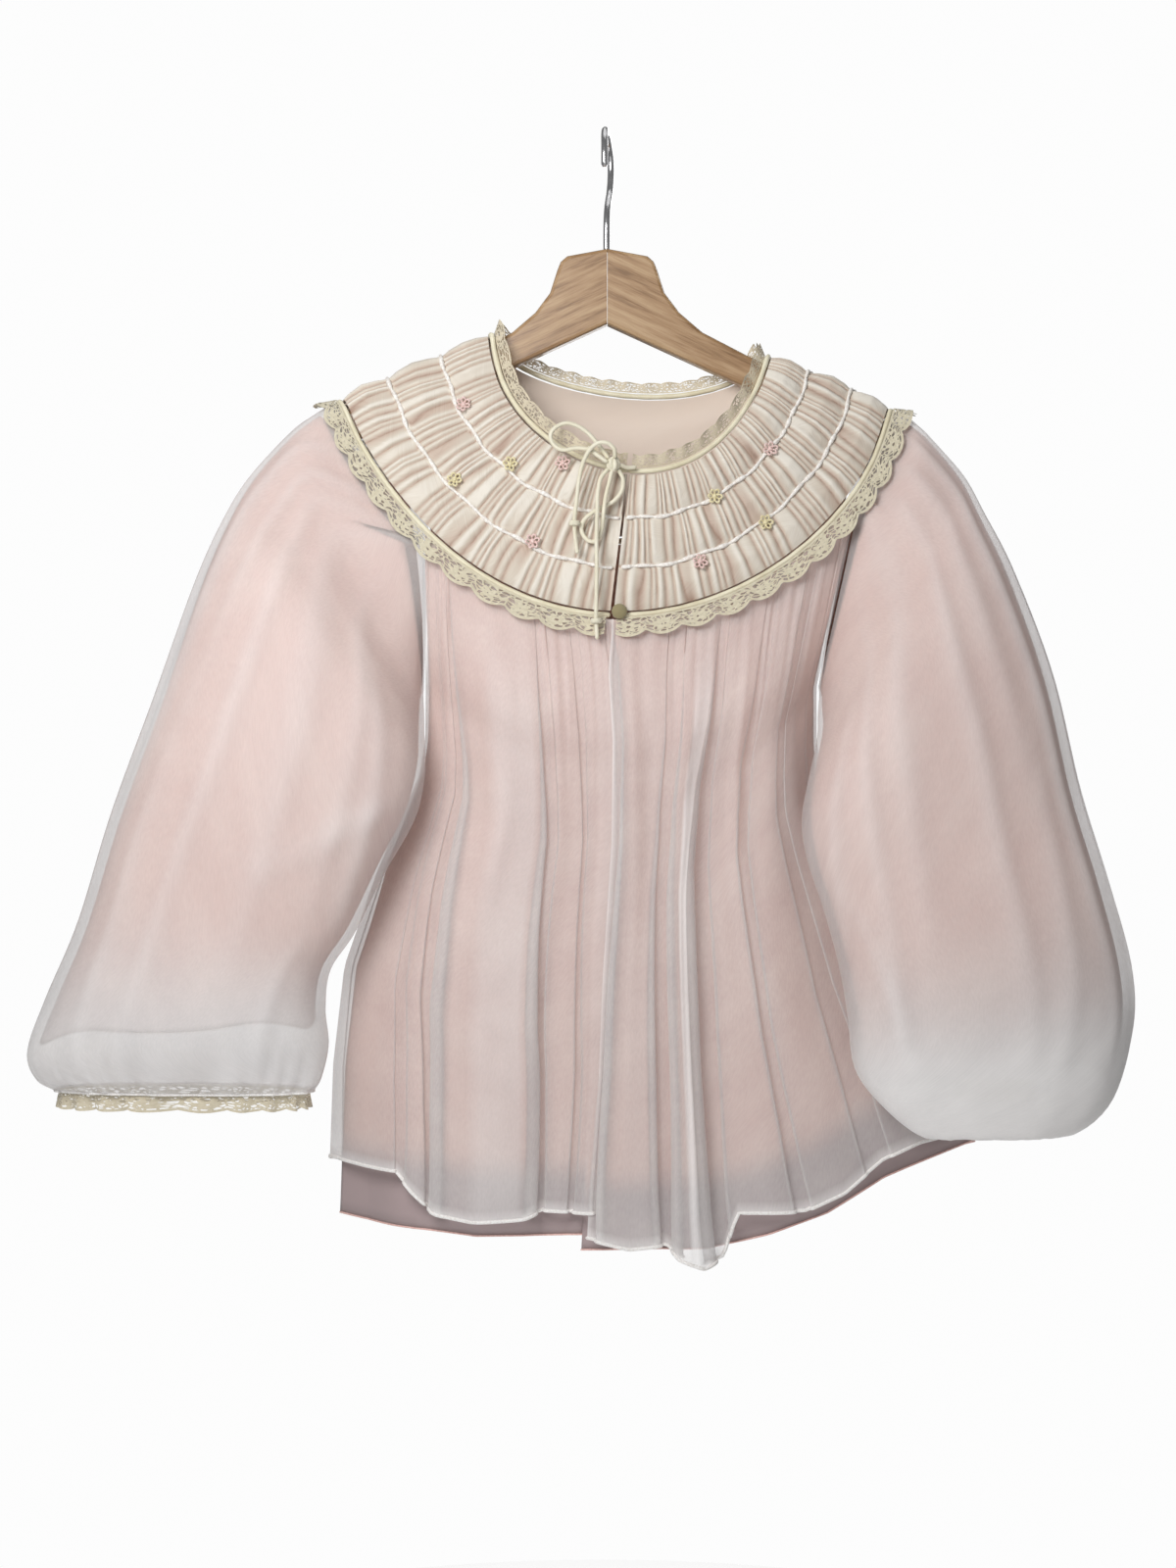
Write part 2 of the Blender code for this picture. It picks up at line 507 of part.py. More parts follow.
def make_pipings():
    """Satin piping round the neck and over the yoke seam, from one side of the slit to the other."""
    angles = ring_angles()
    add_tube("neck_piping", [yoke_point(angle, 0.0, PIPING_RISE) for angle in angles], PIPING_RADIUS, "piping", 1)
    between = [mix(a, b, 0.5) for a, b in zip(angles, angles[1:])]
    closer = sorted(angles + [value for value in between if 36.0 < abs(value) % 180.0 < 144.0])
    add_tube("yoke_piping", [yoke_point(angle, 1.0, PIPING_RISE) for angle in closer], PIPING_RADIUS, "piping", 1)


def make_neck_lace():
    """Narrow ruffled lace that stands up inside the neck piping."""
    columns = np.linspace(SLIT - 360.0 + 3 * SLIT_HALF, SLIT - 3 * SLIT_HALF, 2 * NECK_LACE_WAVES + 1)
    outer = [[], []]
    inner = [[], []]
    for number, angle in enumerate(columns):
        outward, upward = yoke_frame(angle, 0.0)
        root = yoke_base(angle, 0.0) + upward * (PIPING_RADIUS + NECK_LACE_START)
        up, out = NECK_LACE_LEAN
        wave = NECK_LACE_WAVE * (1 if number % 2 else -1)
        depth = NECK_LACE_DEPTH * (1.0 if number % 2 else NECK_LACE_LEAST)
        tip = root + (up * upward + out * outward) * depth + outward * wave
        outer[0].append(root + outward * (NECK_LACE_OFF + LACE))
        outer[1].append(tip + outward * LACE * up - upward * LACE * out)
        inner[0].append(root + outward * NECK_LACE_OFF)
        inner[1].append(tip)
    add_wall("neck_lace", np.array(outer), np.array(inner), "lace")


def make_yoke_lace():
    """Scalloped lace that hangs below the yoke piping, over the tops of the body and sleeves."""
    columns = np.linspace(SLIT - 360.0 + 3 * SLIT_HALF, SLIT - 3 * SLIT_HALF, 2 * YOKE_LACE_SCALLOPS + 1)
    outer = [[], []]
    inner = [[], []]
    for number, angle in enumerate(columns):
        outward, upward = yoke_frame(angle, 1.0)
        root = yoke_base(angle, 1.0) - upward * (PIPING_RADIUS + YOKE_LACE_START)
        depth = YOKE_LACE_DEPTH * (1.0 if number % 2 else YOKE_LACE_LEAST)
        wave = YOKE_LACE_WAVE * (1 if number % 2 else -1)
        tip = yoke_base(angle, 1.0) - upward * (PIPING_RADIUS + depth) + outward * wave
        for row, point, off in zip((0, 1), (root, tip), YOKE_LACE_OFF):
            outer[row].append(point + outward * (off + LACE))
            inner[row].append(point + outward * off)
    add_wall("yoke_lace", np.array(outer), np.array(inner), "lace")


def raglan(right, front):
    """Where the raglan seam leaves the yoke seam, and the underarm where it ends."""
    angle = RAGLAN_RIGHT if right else RAGLAN_LEFT
    top = yoke_point(angle if front else -angle, SEAM_START, SEAM_RISE)
    under = (SIDE_RIGHT if right else SIDE_LEFT)[0]
    return top, np.array((under.x, under.y, under.z))


def raglan_point(right, front, down):
    """A place on the raglan seam, which closes in from front to back only near the underarm."""
    top, under = raglan(right, front)
    point = mix(top, under, down)
    point[1] = mix(top[1], under[1], down ** RAGLAN_CLOSING)
    return point


def side_line(right, front, z):
    """The edge of the front or back at a height: the raglan seam, then the side seam."""
    top, under = raglan(right, front)
    if z > under[2]:
        return raglan_point(right, front, min(1.0, max(0.0, (top[2] - z) / (top[2] - under[2]))))[:2]
    return np.array(read(SIDE_RIGHT if right else SIDE_LEFT, z))


def fold_rise(folds, at, v):
    """How far the folds stand out at a share of the panel's width and height."""
    down = ease(v)
    rise = 0.0
    for fold in folds:
        middle = mix(fold.top_at, fold.hem_at, down)
        half = mix(fold.top_half, fold.hem_half, down)
        rise += mix(fold.top_rise, fold.hem_rise, down) * math.exp(-((at - middle) / half) ** 4)
    return rise


Panel = namedtuple("Panel", "front part folds hem columns")
BODY_ROWS = (0.0, 0.04, 0.10, 0.18, 0.28, 0.42, 0.57, 0.72, 0.86, 1.0)


def sheet_x(front, share_of, at, z):
    """Place across the body at a share of the panel's width."""
    left = side_line(False, front, z[0])[0]
    right = side_line(True, front, z[1])[0]
    if share_of == "whole":
        return mix(left, right, at)
    opening = read(OPENING, z[2])[0]
    if share_of == "left":
        return mix(left, opening, at)
    return mix(opening, right, at)


def body_grid(panel, inset=0.0, edge_in=0.0, gathers=True, rows=BODY_ROWS):
    """Points of one body panel, from the yoke seam to the hem and across from its left edge to its right."""
    sign = -1.0 if panel.front else 1.0
    first, last = panel.hem[0].z, panel.hem[-1].z
    opening_hem = {"left": last, "right": first, "whole": 0.0}[panel.part]
    corner = {False: first if panel.part != "right" else MIDDLE_HEM_Z,
              True: last if panel.part != "left" else MIDDLE_HEM_Z}
    top_z = {right: raglan(right, panel.front)[0][2] for right in (False, True)}
    grid = []
    for v in rows:
        line = []
        edge_z = [mix(top_z[right], corner[right], v) for right in (False, True)]
        open_z = mix(OPENING[0].z, opening_hem, v)
        for number, at in enumerate(np.linspace(0.0, 1.0, panel.columns + 1)):
            top_x = sheet_x(panel.front, panel.part, at, (top_z[False], top_z[True], OPENING[0].z))
            x = sheet_x(panel.front, panel.part, at, (*edge_z, open_z))
            cosine = (top_x - SEAM_RING.centre_x) / (SEAM_RING.half_width * SEAM_WIDER)
            angle = math.degrees(math.acos(max(-1.0, min(1.0, cosine))))
            seam = yoke_point(angle if panel.front else -angle, SEAM_START, SEAM_RISE)
            z = mix(seam[2], read(panel.hem, at), v)
            left = side_line(False, panel.front, edge_z[0])
            right = side_line(True, panel.front, edge_z[1])
            across = (x - left[0]) / (right[0] - left[0])
            side_y = mix(left[1], right[1], across)
            left_top = raglan(False, panel.front)[0]
            right_top = raglan(True, panel.front)[0]
            top_side_y = mix(left_top[1], right_top[1], (top_x - left_top[0]) / (right_top[0] - left_top[0]))
            roll_right = max(ROLL_LEAST, right[0] - FLARE_FROM) if panel.front else SIDE_ROLL
            lens = (math.sin(math.pi / 2 * min(1.0, max(0.0, x - left[0]) / SIDE_ROLL))
                    * math.sin(math.pi / 2 * min(1.0, max(0.0, right[0] - x) / roll_right)))
            depth = read(DEPTH_FRONT if panel.front else DEPTH_BACK, z)
            bulge = mix(seam[1] - top_side_y, sign * depth * lens, ease(v / DEPTH_FROM_SEAM))
            y = side_y + bulge
            fade = lens ** 0.5 if v > FOLDS_FROM_SEAM else 1.0
            rise = fold_rise(panel.folds, at, v) * ease(v / FOLDS_FROM_SEAM) * fade
            if gathers and 0 < number < panel.columns:
                rise += GATHER_RISE * (number % 2) * max(0.0, 1.0 - v / GATHER_FADE)
            apart = ease((v - SIDES_APART[0]) / SIDES_APART[1])
            y += sign * (rise + SIDE_SEAM_GAP * apart * (1.0 - lens))
            point = np.array((x, y, z))
            if inset:
                outward = yoke_frame(angle if panel.front else -angle, SEAM_START)[0]
                inwards = np.array((0.0, -sign * inset * min(1.0, 2.0 * lens), 0.0))
                point += mix(-LINING_AT_SEAM * outward, inwards, ease(v / LINING_FROM_SEAM))
            line.append(point)
        grid.append(line)
    grid = np.array(grid)
    width = grid[:, -1:, 0] - grid[:, :1, 0]
    share = (grid[:, :, 0] - grid[:, :1, 0]) / width
    fade_in = np.array([[ease(v / LINING_FROM_SEAM)] for v in rows]) if inset else 1.0
    if panel.part != "right":
        grid[:, :, 0] += edge_in * fade_in * (1 - share)
    if panel.part != "left":
        grid[:, :, 0] -= edge_in * fade_in * share
    return grid


def shift_opening(grid, right, shut, lift):
    """Move a front's edge at the opening sideways to overlap the other front, and lift it forward."""
    for r, v in enumerate(BODY_ROWS):
        move = mix(-OPENING_CLEAR, shut, ease((v - SHUT_SHARES[0]) / SHUT_SHARES[1]))
        width = grid[r, -1, 0] - grid[r, 0, 0]
        for c in range(grid.shape[1]):
            share = (grid[r, c, 0] - grid[r, 0, 0]) / width
            near = 1.0 - share if right else share
            grid[r, c, 0] += move * near ** 3 * (-1 if right else 1)
            grid[r, c, 1] -= lift * ease(v / LIFT_SHARE) * near ** 6
    return grid


def wall_inside(grid, thickness, front):
    """The inner side of a body panel: its outer points moved in along their normals."""
    outward = normals(grid)
    middle = outward[len(grid) // 2, grid.shape[1] // 2, 1]
    if (middle > 0) == front:
        outward = -outward
    outward[:, :, 2] *= 0.3
    return grid - thickness * outward


FRONT_LEFT = Panel(True, "left", FOLDS_FRONT_LEFT, HEM_FRONT_LEFT, 22)
FRONT_RIGHT = Panel(True, "right", FOLDS_FRONT_RIGHT, HEM_FRONT_RIGHT, 26)
BACK = Panel(False, "whole", FOLDS_BACK, HEM_BACK, 28)
LINING_ROWS = (0.0, 0.04, 0.10, 0.18, 0.28, 0.42, 0.57, 0.72, 1.0)


def make_body():
    """Front left, front right over it, and back, each a folded wall."""
    left = shift_opening(body_grid(FRONT_LEFT, edge_in=SEAM_GAP), False, SHUT_LEFT, 0.0)
    add_wall("front_left", left, wall_inside(left, CHIFFON, True), "chiffon")
    right = shift_opening(body_grid(FRONT_RIGHT, edge_in=SEAM_GAP), True, SHUT_RIGHT, LIFT_RIGHT)
    add_wall("front_right", right, wall_inside(right, CHIFFON, True), "chiffon")
    back = body_grid(BACK, edge_in=SEAM_GAP)
    add_wall("back", back, wall_inside(back, CHIFFON, False), "chiffon")


def make_body_lining():
    """The lining's fronts and back, plain but for low folds, inside the chiffon and longer than it."""
    for name, panel, hem, columns in (
            ("lining_front_left", FRONT_LEFT, LINING_HEM_FRONT_LEFT, 12),
            ("lining_front_right", FRONT_RIGHT, LINING_HEM_FRONT_RIGHT, 14),
            ("lining_back", BACK, LINING_HEM_BACK, 16)):
        low = [fold._replace(top_rise=0.0, hem_rise=LINING_FOLDS * fold.hem_rise) for fold in panel.folds]
        plain = panel._replace(folds=low, hem=hem, columns=columns)
        outer = body_grid(plain, inset=LINING_INSET, edge_in=LINING_EDGE_IN, gathers=False, rows=LINING_ROWS)
        share = (outer[:, :, 0] - outer[:, :1, 0]) / (outer[:, -1:, 0] - outer[:, :1, 0])
        if panel.part == "left":
            outer[:, :, 0] -= LINING_OPENING * share
        if panel.part == "right":
            outer[:, :, 0] += LINING_OPENING * (1.0 - share)
        add_wall(name, outer, wall_inside(outer, LINING, panel.front), "lining")


def ring_axis(row):
    """The middle of a sleeve ring and the half width from there to its outer edge."""
    outer = np.array((row.outer_x, row.outer_y, row.outer_z))
    inner = np.array((row.inner_x, row.inner_y, row.inner_z))
    return (outer + inner) / 2, (outer - inner) / 2


def sleeve_base(rows, right, columns):
    """Rings of a sleeve from the armhole to the cuff, with plain walls; the first column is the outer edge."""
    angle = RAGLAN_RIGHT if right else RAGLAN_LEFT
    turns = np.linspace(-180.0, 180.0, columns, endpoint=False)
    rings = [[], []]
    for turn in turns:
        share = turn / RAGLAN_TURN
        if abs(share) <= 1.0:
            place = share * angle if right else 180.0 - share * (180.0 - angle)
            rings[0].append(yoke_point(place, SEAM_START, SLEEVE_SEAM_RISE))
            rings[1].append(yoke_point(place, *SHOULDER_RING))
        else:
            down = (abs(turn) - RAGLAN_TURN) / (180.0 - RAGLAN_TURN)
            clear = np.array((ARMHOLE_GAP if right else -ARMHOLE_GAP, 0.0, 0.0))
            rings[0].append(raglan_point(right, share > 0, down) + clear)
            rings[1].append(None)
    for row in rows:
        middle, half = ring_axis(row)
        ring = []
        for turn in turns:
            c = math.cos(math.radians(turn))
            s = math.sin(math.radians(turn))
            across = math.copysign(abs(c) ** ROUNDNESS, c)
            forward = math.copysign(abs(s) ** ROUNDNESS, s)
            ring.append(middle + half * across - np.array((0.0, row.half_depth * forward, 0.0)))
        rings.append(ring)
    for number, point in enumerate(rings[1]):
        if point is None:
            rings[1][number] = mix(rings[0][number], rings[2][number], SHOULDER_SHARE)
    return np.array(rings)


def ring_normals(rows, columns):
    """Outward directions of a sleeve's rings; where the cuff is turned in they swing down and then inwards."""
    turns = np.radians(np.linspace(-180.0, 180.0, columns, endpoint=False))
    found = []
    for row in (rows[0], rows[0], *rows):
        half = ring_axis(row)[1]
        width = np.linalg.norm(half)
        swing = math.pi * row.turned
        line = []
        for turn in turns:
            away = half / width * math.cos(turn) / width - np.array((0.0, math.sin(turn) / row.half_depth, 0.0))
            away = away / np.linalg.norm(away)
            line.append(away * math.cos(swing) - np.array((0.0, 0.0, math.sin(swing))))
        found.append(line)
    return np.array(found)


def make_sleeve(name, rows, right):
    base = sleeve_base(rows, right, SLEEVE_COLUMNS)
    outward = ring_normals(rows, SLEEVE_COLUMNS)
    outer = base.copy()
    for r in range(len(base)):
        rise = read(SLEEVE_GATHERS, r / (len(base) - 1))
        for c in range(1, SLEEVE_COLUMNS, 2):
            on_yoke = abs(360.0 * c / SLEEVE_COLUMNS - 180.0) < RAGLAN_TURN
            if r > 1 or on_yoke:
                outer[r, c] += outward[r, c] * rise * (UNEVEN_LEAST + SLEEVE_SPREAD * unevenness(c))
    coarse = base[:, ::2]
    inner = coarse - CHIFFON * outward[:, ::2]
    add_wall(name, outer, inner, "chiffon", closed=True)
    lining_outer = []
    lining_inner = []
    for r, inset in zip(LINING_SLEEVE_ROWS, LINING_SLEEVE_INSET):
        lining_outer.append(coarse[r] - inset * outward[r, ::2])
        lining_inner.append(coarse[r] - (inset + LINING) * outward[r, ::2])
    add_wall(name.replace("sleeve", "lining_sleeve"), np.array(lining_outer), np.array(lining_inner), "lining",
             closed=True)


def make_cuff_lace(name, row, up):
    """A ruffle of lace at a cuff: it hangs below the edge, or stands up inside a cuff that is turned in."""
    count = 2 * CUFF_LACE_WAVES
    middle, half = ring_axis(row)
    way = 1.0 if up else -1.0
    outer = [[], []]
    inner = [[], []]
    for number in range(count):
        turn = 2 * math.pi * number / count
        c = math.cos(turn)
        s = math.sin(turn)
        across = math.copysign(abs(c) ** ROUNDNESS, c)
        forward = math.copysign(abs(s) ** ROUNDNESS, s)
        wave = CUFF_LACE_OFF + CUFF_LACE_WAVE * (1 if number % 2 else -1)
        out = np.array((across * math.copysign(1.0, row.outer_x - row.inner_x), -forward, 0.0))
        out = out / np.linalg.norm(out)
        edge = middle + half * across - np.array((0.0, row.half_depth * forward, 0.0))
        root = edge + np.array((0.0, 0.0, way * SEAM_GAP))
        tip = root + np.array((0.0, 0.0, way * CUFF_LACE_DEPTH * (1.0 if number % 2 else CUFF_LACE_LEAST)))
        outer[0].append(root)
        outer[1].append(tip + out * wave)
        inner[0].append(root - out * LACE)
        inner[1].append(tip + out * (wave - LACE))
    add_wall(name, np.array(outer), np.array(inner), "lace", closed=True)


def make_sleeves():
    make_sleeve("sleeve_left", SLEEVE_LEFT, False)
    make_sleeve("sleeve_right", SLEEVE_RIGHT, True)
    make_cuff_lace("cuff_lace_left", SLEEVE_LEFT[-1], False)
    make_cuff_lace("cuff_lace_right", SLEEVE_RIGHT[-1], True)


def make_hanger():
    """Two mitred wooden arms that meet in the middle, and the steel hook above them."""
    for name, side in (("hanger_arm_left", -1.0), ("hanger_arm_right", 1.0)):
        outline = [(HANGER_X + side * max(MITRE_HALF, p.x), p.z) for p in HANGER_TOP + HANGER_UNDER]
        shape = bmesh.new()
        ends = [shape.verts.new((x * MM, -ARM_THICKNESS / 2 * MM, z * MM)) for x, z in outline]
        face = shape.faces.new(ends)
        moved = bmesh.ops.extrude_face_region(shape, geom=[face])["geom"]
        for vertex in (item for item in moved if isinstance(item, bmesh.types.BMVert)):
            vertex.co.y += ARM_THICKNESS * MM
        bmesh.ops.recalc_face_normals(shape, faces=shape.faces[:])
        rims = [edge for edge in shape.edges
                if abs(edge.verts[0].co.y - edge.verts[1].co.y) < 1e-6
                and max(abs(vertex.co.x - HANGER_X * MM) for vertex in edge.verts) > MM]
        bmesh.ops.bevel(shape, geom=rims, offset=ARM_BEVEL * MM, segments=2, profile=0.5, affect="EDGES")
        bmesh.ops.triangulate(shape, faces=shape.faces[:])
        mesh = bpy.data.meshes.new(name)
        shape.to_mesh(mesh)
        shape.free()
        mesh.shade_smooth()
        mesh.set_sharp_from_angle(angle=math.radians(35))
        mesh.materials.append(material("wood"))
        bpy.context.scene.collection.objects.link(bpy.data.objects.new(name, mesh))
    make_hook()


def make_hook():
    """A round wire: straight up from the wood, back, then over the rail and down in front."""
    centre_z = HOOK_WIRE_RADIUS - HOOK_RADIUS
    route = list(HOOK_SHANK)
    for angle in HOOK_ANGLES:
        turn = math.radians(angle)
        route.append((read(HOOK_LEAN, angle), HOOK_RADIUS * math.cos(turn), centre_z + HOOK_RADIUS * math.sin(turn)))
    add_tube("hanger_hook", smooth_route(route, HOOK_STEP), HOOK_WIRE_RADIUS, "steel", 2)


def make_bow():
    """The cord's knot, loops, tails and leads, with a bead ring round each tail."""
    add_ball("bow_knot", KNOT, (KNOT_RADIUS, KNOT_RADIUS, KNOT_RADIUS), "piping")
    for name, route in BOW_ROUTES.items():
        add_tube(name, smooth_route(route, CORD_STEP), CORD_RADIUS, "piping", 2)
    for bead in BEADS:
        points = []
        faces = []
        around, section = BEAD_POINTS
        for i in range(around):
            turn = 2 * math.pi * i / around
            for j in range(section):
                roll = 2 * math.pi * j / section
                reach = BEAD_RING + BEAD_TUBE * math.cos(roll)
                points.append((bead.x + reach * math.cos(turn), bead.y + reach * math.sin(turn),
                               bead.z + BEAD_TALLER * BEAD_TUBE * math.sin(roll)))
                a, b = i * section + j, i * section + (j + 1) % section
                c, d = ((i + 1) % around) * section + (j + 1) % section, ((i + 1) % around) * section + j
                faces.append((a, b, c, d))
        add_mesh(bead.name, points, faces, "piping")


def add_ball(name, centre, radii, slot):
    shape = bmesh.new()
    bmesh.ops.create_uvsphere(shape, u_segments=8, v_segments=5, radius=1.0)
    points = [tuple(c + r * value for c, r, value in zip(centre, radii, vertex.co)) for vertex in shape.verts]
    faces = [[vertex.index for vertex in face.verts] for face in shape.faces]
    shape.free()
    add_mesh(name, points, faces, slot)


def make_flowers():
    """Small five-petalled flowers, each a low dome on the shirring."""
    for flower in FLOWERS:
        outward, upward = yoke_frame(flower.angle, flower.u)
        sideways = np.cross(outward, upward)
        middle = yoke_base(flower.angle, flower.u)
        points = []
        for rise, size in ((0.0, 1.0), FLOWER_STEP):
            for k in range(FLOWER_POINTS):
                turn = 2 * math.pi * k / FLOWER_POINTS
                reach = FLOWER_RADIUS * size * (1.0 if k % 2 else FLOWER_NOTCH)
                aside = reach * (math.cos(turn) * upward + math.sin(turn) * sideways)
                points.append(middle + outward * (flower.back + rise) + aside)
        points.append(middle + outward * (flower.back + FLOWER_HEIGHT))
        faces = [list(range(FLOWER_POINTS))]
        for k in range(FLOWER_POINTS):
            n = (k + 1) % FLOWER_POINTS
            faces.append((k, n, FLOWER_POINTS + n, FLOWER_POINTS + k))
            faces.append((FLOWER_POINTS + k, FLOWER_POINTS + n, 2 * FLOWER_POINTS))
        add_mesh(flower.name, points, faces, flower.colour)


def make_part():
    clear_scene()
    make_hanger()
    make_yoke()
    make_pipings()
    make_neck_lace()
    make_yoke_lace()
    make_body()
    make_body_lining()
    make_sleeves()
    add_ball("button", BUTTON, BUTTON_SIZE, "button")
    make_flowers()
    make_bow()


make_part()
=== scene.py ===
"""Sheer babydoll top over a blush lining, on a wooden hanger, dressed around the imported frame.

Lengths in the tables are millimetres, as on the maker's pattern; every mesh is made in metres. +X is the right of the
front view, the front looks along -Y and the origin is the inside top of the hook.
"""
import math
from collections import namedtuple

import bpy
import numpy as np
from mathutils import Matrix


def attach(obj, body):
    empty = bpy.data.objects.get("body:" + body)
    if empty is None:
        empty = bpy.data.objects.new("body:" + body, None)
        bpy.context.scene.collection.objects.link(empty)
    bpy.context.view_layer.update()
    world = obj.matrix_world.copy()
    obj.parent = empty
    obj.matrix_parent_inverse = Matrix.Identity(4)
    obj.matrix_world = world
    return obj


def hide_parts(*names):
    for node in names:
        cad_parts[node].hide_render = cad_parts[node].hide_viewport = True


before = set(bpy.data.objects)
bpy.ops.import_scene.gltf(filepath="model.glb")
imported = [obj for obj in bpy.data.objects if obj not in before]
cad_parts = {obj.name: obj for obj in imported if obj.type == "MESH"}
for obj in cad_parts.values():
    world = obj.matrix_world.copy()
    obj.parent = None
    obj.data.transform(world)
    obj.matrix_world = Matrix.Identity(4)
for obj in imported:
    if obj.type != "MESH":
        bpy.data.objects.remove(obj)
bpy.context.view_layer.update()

MM = 0.001
BODY = "root"

# Camera: 0.6 mm of the object to one pixel of the 1200 x 1600 photograph, from 1.5 m in front
CAMERA_AT = (-10.8, -1500, -397.8)
CAMERA_LENS = 56.25
CAMERA_SENSOR = 36.0
FLOOR_Z = -1050.0
FLOOR_RADIUS = 0.56      # metres
WHITE = (1, 1, 1, 1)
SOFT_LIGHT = 0.20        # of the white all round, on the object
PAPER_WHITE = 0.98       # of the white all round, as the camera sees it
LAMPS_AIM = (0, 0, -0.38)
Lamp = namedtuple("Lamp", "name place size power")
LAMPS = [Lamp("key", (-0.34, -0.84, 0), 0.45, 7.6), Lamp("fill", (0.15, -1.5, -0.65), 0.9, 2.2),
         Lamp("top", (0.1, 0.2, 0.9), 0.9, 2), Lamp("back", (0.4, 1.3, 0), 1, 8)]   # metres, watts

# Sizes shared with the frame
HANGER_X = 1.0
HOOK_WIRE_RADIUS = 2.0
HOOK_RADIUS = 19.0
PIPING_RADIUS = 1.6
CORD_RADIUS = 1.25
THREAD_RADIUS = 0.95     # gathering thread that shirs the yoke
HEM_RADIUS = 1.1         # narrow rolled hem of the chiffon
EDGING_RADIUS = 0.55     # edging of the lining's hem
LINING_WALL = 0.5
ARMHOLE_GAP = 1.2
SIDE_SEAM_GAP = 0.5


def table(kind, *rows):
    return [kind(*row) for row in rows]


OutlinePoint = namedtuple("OutlinePoint", "x z")
HANGER_TOP = table(OutlinePoint,
    (0, -71), (24.5, -75.5), (28.5, -79), (30.5, -84), (35, -98), (44, -110), (58, -122), (86, -136.5), (148, -165),
    (178, -181), (190, -188), (194, -192.5),
)

Ring = namedtuple("Ring", "centre_x half_width front_y back_y clearance front_drop back_drop power power_tilt")
NECK_RING = Ring(14.7, 85, 34, 24, 3.2, 78, 24, 1.02, 0.20)
SEAM_RING = Ring(5.7, 169.5, 36, 29, 6.5, 127, 76, 1.25, -0.15)
ROUNDNESS = 0.8
FLAT_OVER_ARM = 8.5
SLIT = 90.8
SLIT_HALF = 0.35
SHOULDER_HALF = 0.12

YokeRow = namedtuple("YokeRow", "u puff gather")
YOKE_ROWS = table(YokeRow,
    (0.028, 0, 0.9), (0.09, 1.5, 1.5), (0.165, 2.3, 1.8), (0.26, 1.5, 1.5), (0.33, 0.2, 0.7), (0.40, 1.4, 1.5),
    (0.505, 2.5, 2), (0.61, 1.5, 1.6), (0.68, 0.2, 0.7), (0.75, 1.4, 1.4), (0.84, 2.3, 1.8), (0.93, 1.2, 1.3),
    (0.972, 0, 0.9),
)
GATHERS_FRONT = 40
GATHERS_BACK = 80
THREAD_ROWS = (0.33, 0.68)
YOKE_STEPS = 58
THREAD_POINTS = 760
YOKE_LINING_ROWS = (0.028, 0.26, 0.5, 0.74, 0.972)
YOKE_LINING_COLUMNS = 180

RAGLAN_LEFT = 131.6
RAGLAN_RIGHT = 31.0
RAGLAN_CLOSING = 2.2
SEAM_START = 1.028
SEAM_RISE = 0.5          # of the cloth sewn in there, over the yoke's plain surface
LINING_AT_SEAM = 1.9     # how far the lining lies inside the chiffon there
LINING_INSET = 7.0       # and below it
SidePoint = namedtuple("SidePoint", "z x y")
SIDE_LEFT = table(SidePoint,
    (-341, -110, -2), (-370, -110.5, 2), (-392, -114, 5), (-450, -140, 9), (-510, -161, 11), (-570, -168, 12),
    (-680, -172, 13),
)
SIDE_RIGHT = table(SidePoint,
    (-338, 129, -1), (-370, 129.5, 3), (-392, 132, 5), (-420, 142, 6), (-500, 176, 9), (-560, 208, 10),
    (-620, 236, 10), (-680, 246, 10),
)
OPENING = table(SidePoint,
    (-302, 3.3, 0), (-374, 7.8, 0), (-434, 7.2, 0), (-513, 2, 0), (-571, -0.4, 0), (-640, -6, 0), (-700, -9, 0),
)
DepthPoint = namedtuple("DepthPoint", "z depth")
DEPTH_FRONT = table(DepthPoint,
    (-245, 4), (-300, 12), (-345, 30), (-400, 40), (-500, 47), (-700, 54),
)
DEPTH_BACK = table(DepthPoint,
    (-210, 4), (-300, 16), (-345, 26), (-400, 28), (-500, 28), (-700, 30),
)
SIDE_ROLL = 60.0
FLARE_FROM = 95.0
HEM_CORNER_Z = -640.0

# Folds of the body: edges as shares of the panel, rise and undercut in millimetres at the hem
Fold = namedtuple("Fold", "top_from top_to hem_from hem_to top_rise hem_rise under")
FOLDS_FRONT_LEFT = table(Fold,
    (0.010, 0.050, 0.045, 0.270, 0.5, 2.5, 3), (0.065, 0.110, 0.300, 0.375, 1.2, 5.5, 3),
    (0.140, 0.590, 0.400, 0.775, 3, 12.5, 8), (0.640, 0.775, 0.800, 0.890, 2.5, 4.5, 3.5),
    (0.810, 0.950, 0.905, 0.985, 2, 6, 3),
)
FOLDS_FRONT_RIGHT = table(Fold,
    (0.035, 0.225, 0.015, 0.180, 1.5, 8, 5), (0.300, 0.440, 0.200, 0.305, 4, 17, 7),
    (0.490, 0.640, 0.350, 0.500, 3, 6.5, 6), (0.680, 0.810, 0.540, 0.690, 2.5, 4, 5),
    (0.850, 0.950, 0.750, 0.890, 0.7, 3, 4),
)
FOLDS_BACK = table(Fold,
    (0.02, 0.10, 0.03, 0.11, 1, 4, 2.5), (0.12, 0.22, 0.14, 0.24, 2.5, 10, 5), (0.26, 0.34, 0.27, 0.35, 2, 6, 3.5),
    (0.37, 0.47, 0.375, 0.485, 2.5, 12, 5.5), (0.52, 0.60, 0.52, 0.60, 2, 7, 3.5),
    (0.63, 0.73, 0.63, 0.73, 2.5, 11, 5), (0.77, 0.85, 0.755, 0.845, 2, 8, 3.5),
    (0.89, 0.97, 0.88, 0.96, 1, 5, 2.5),
)
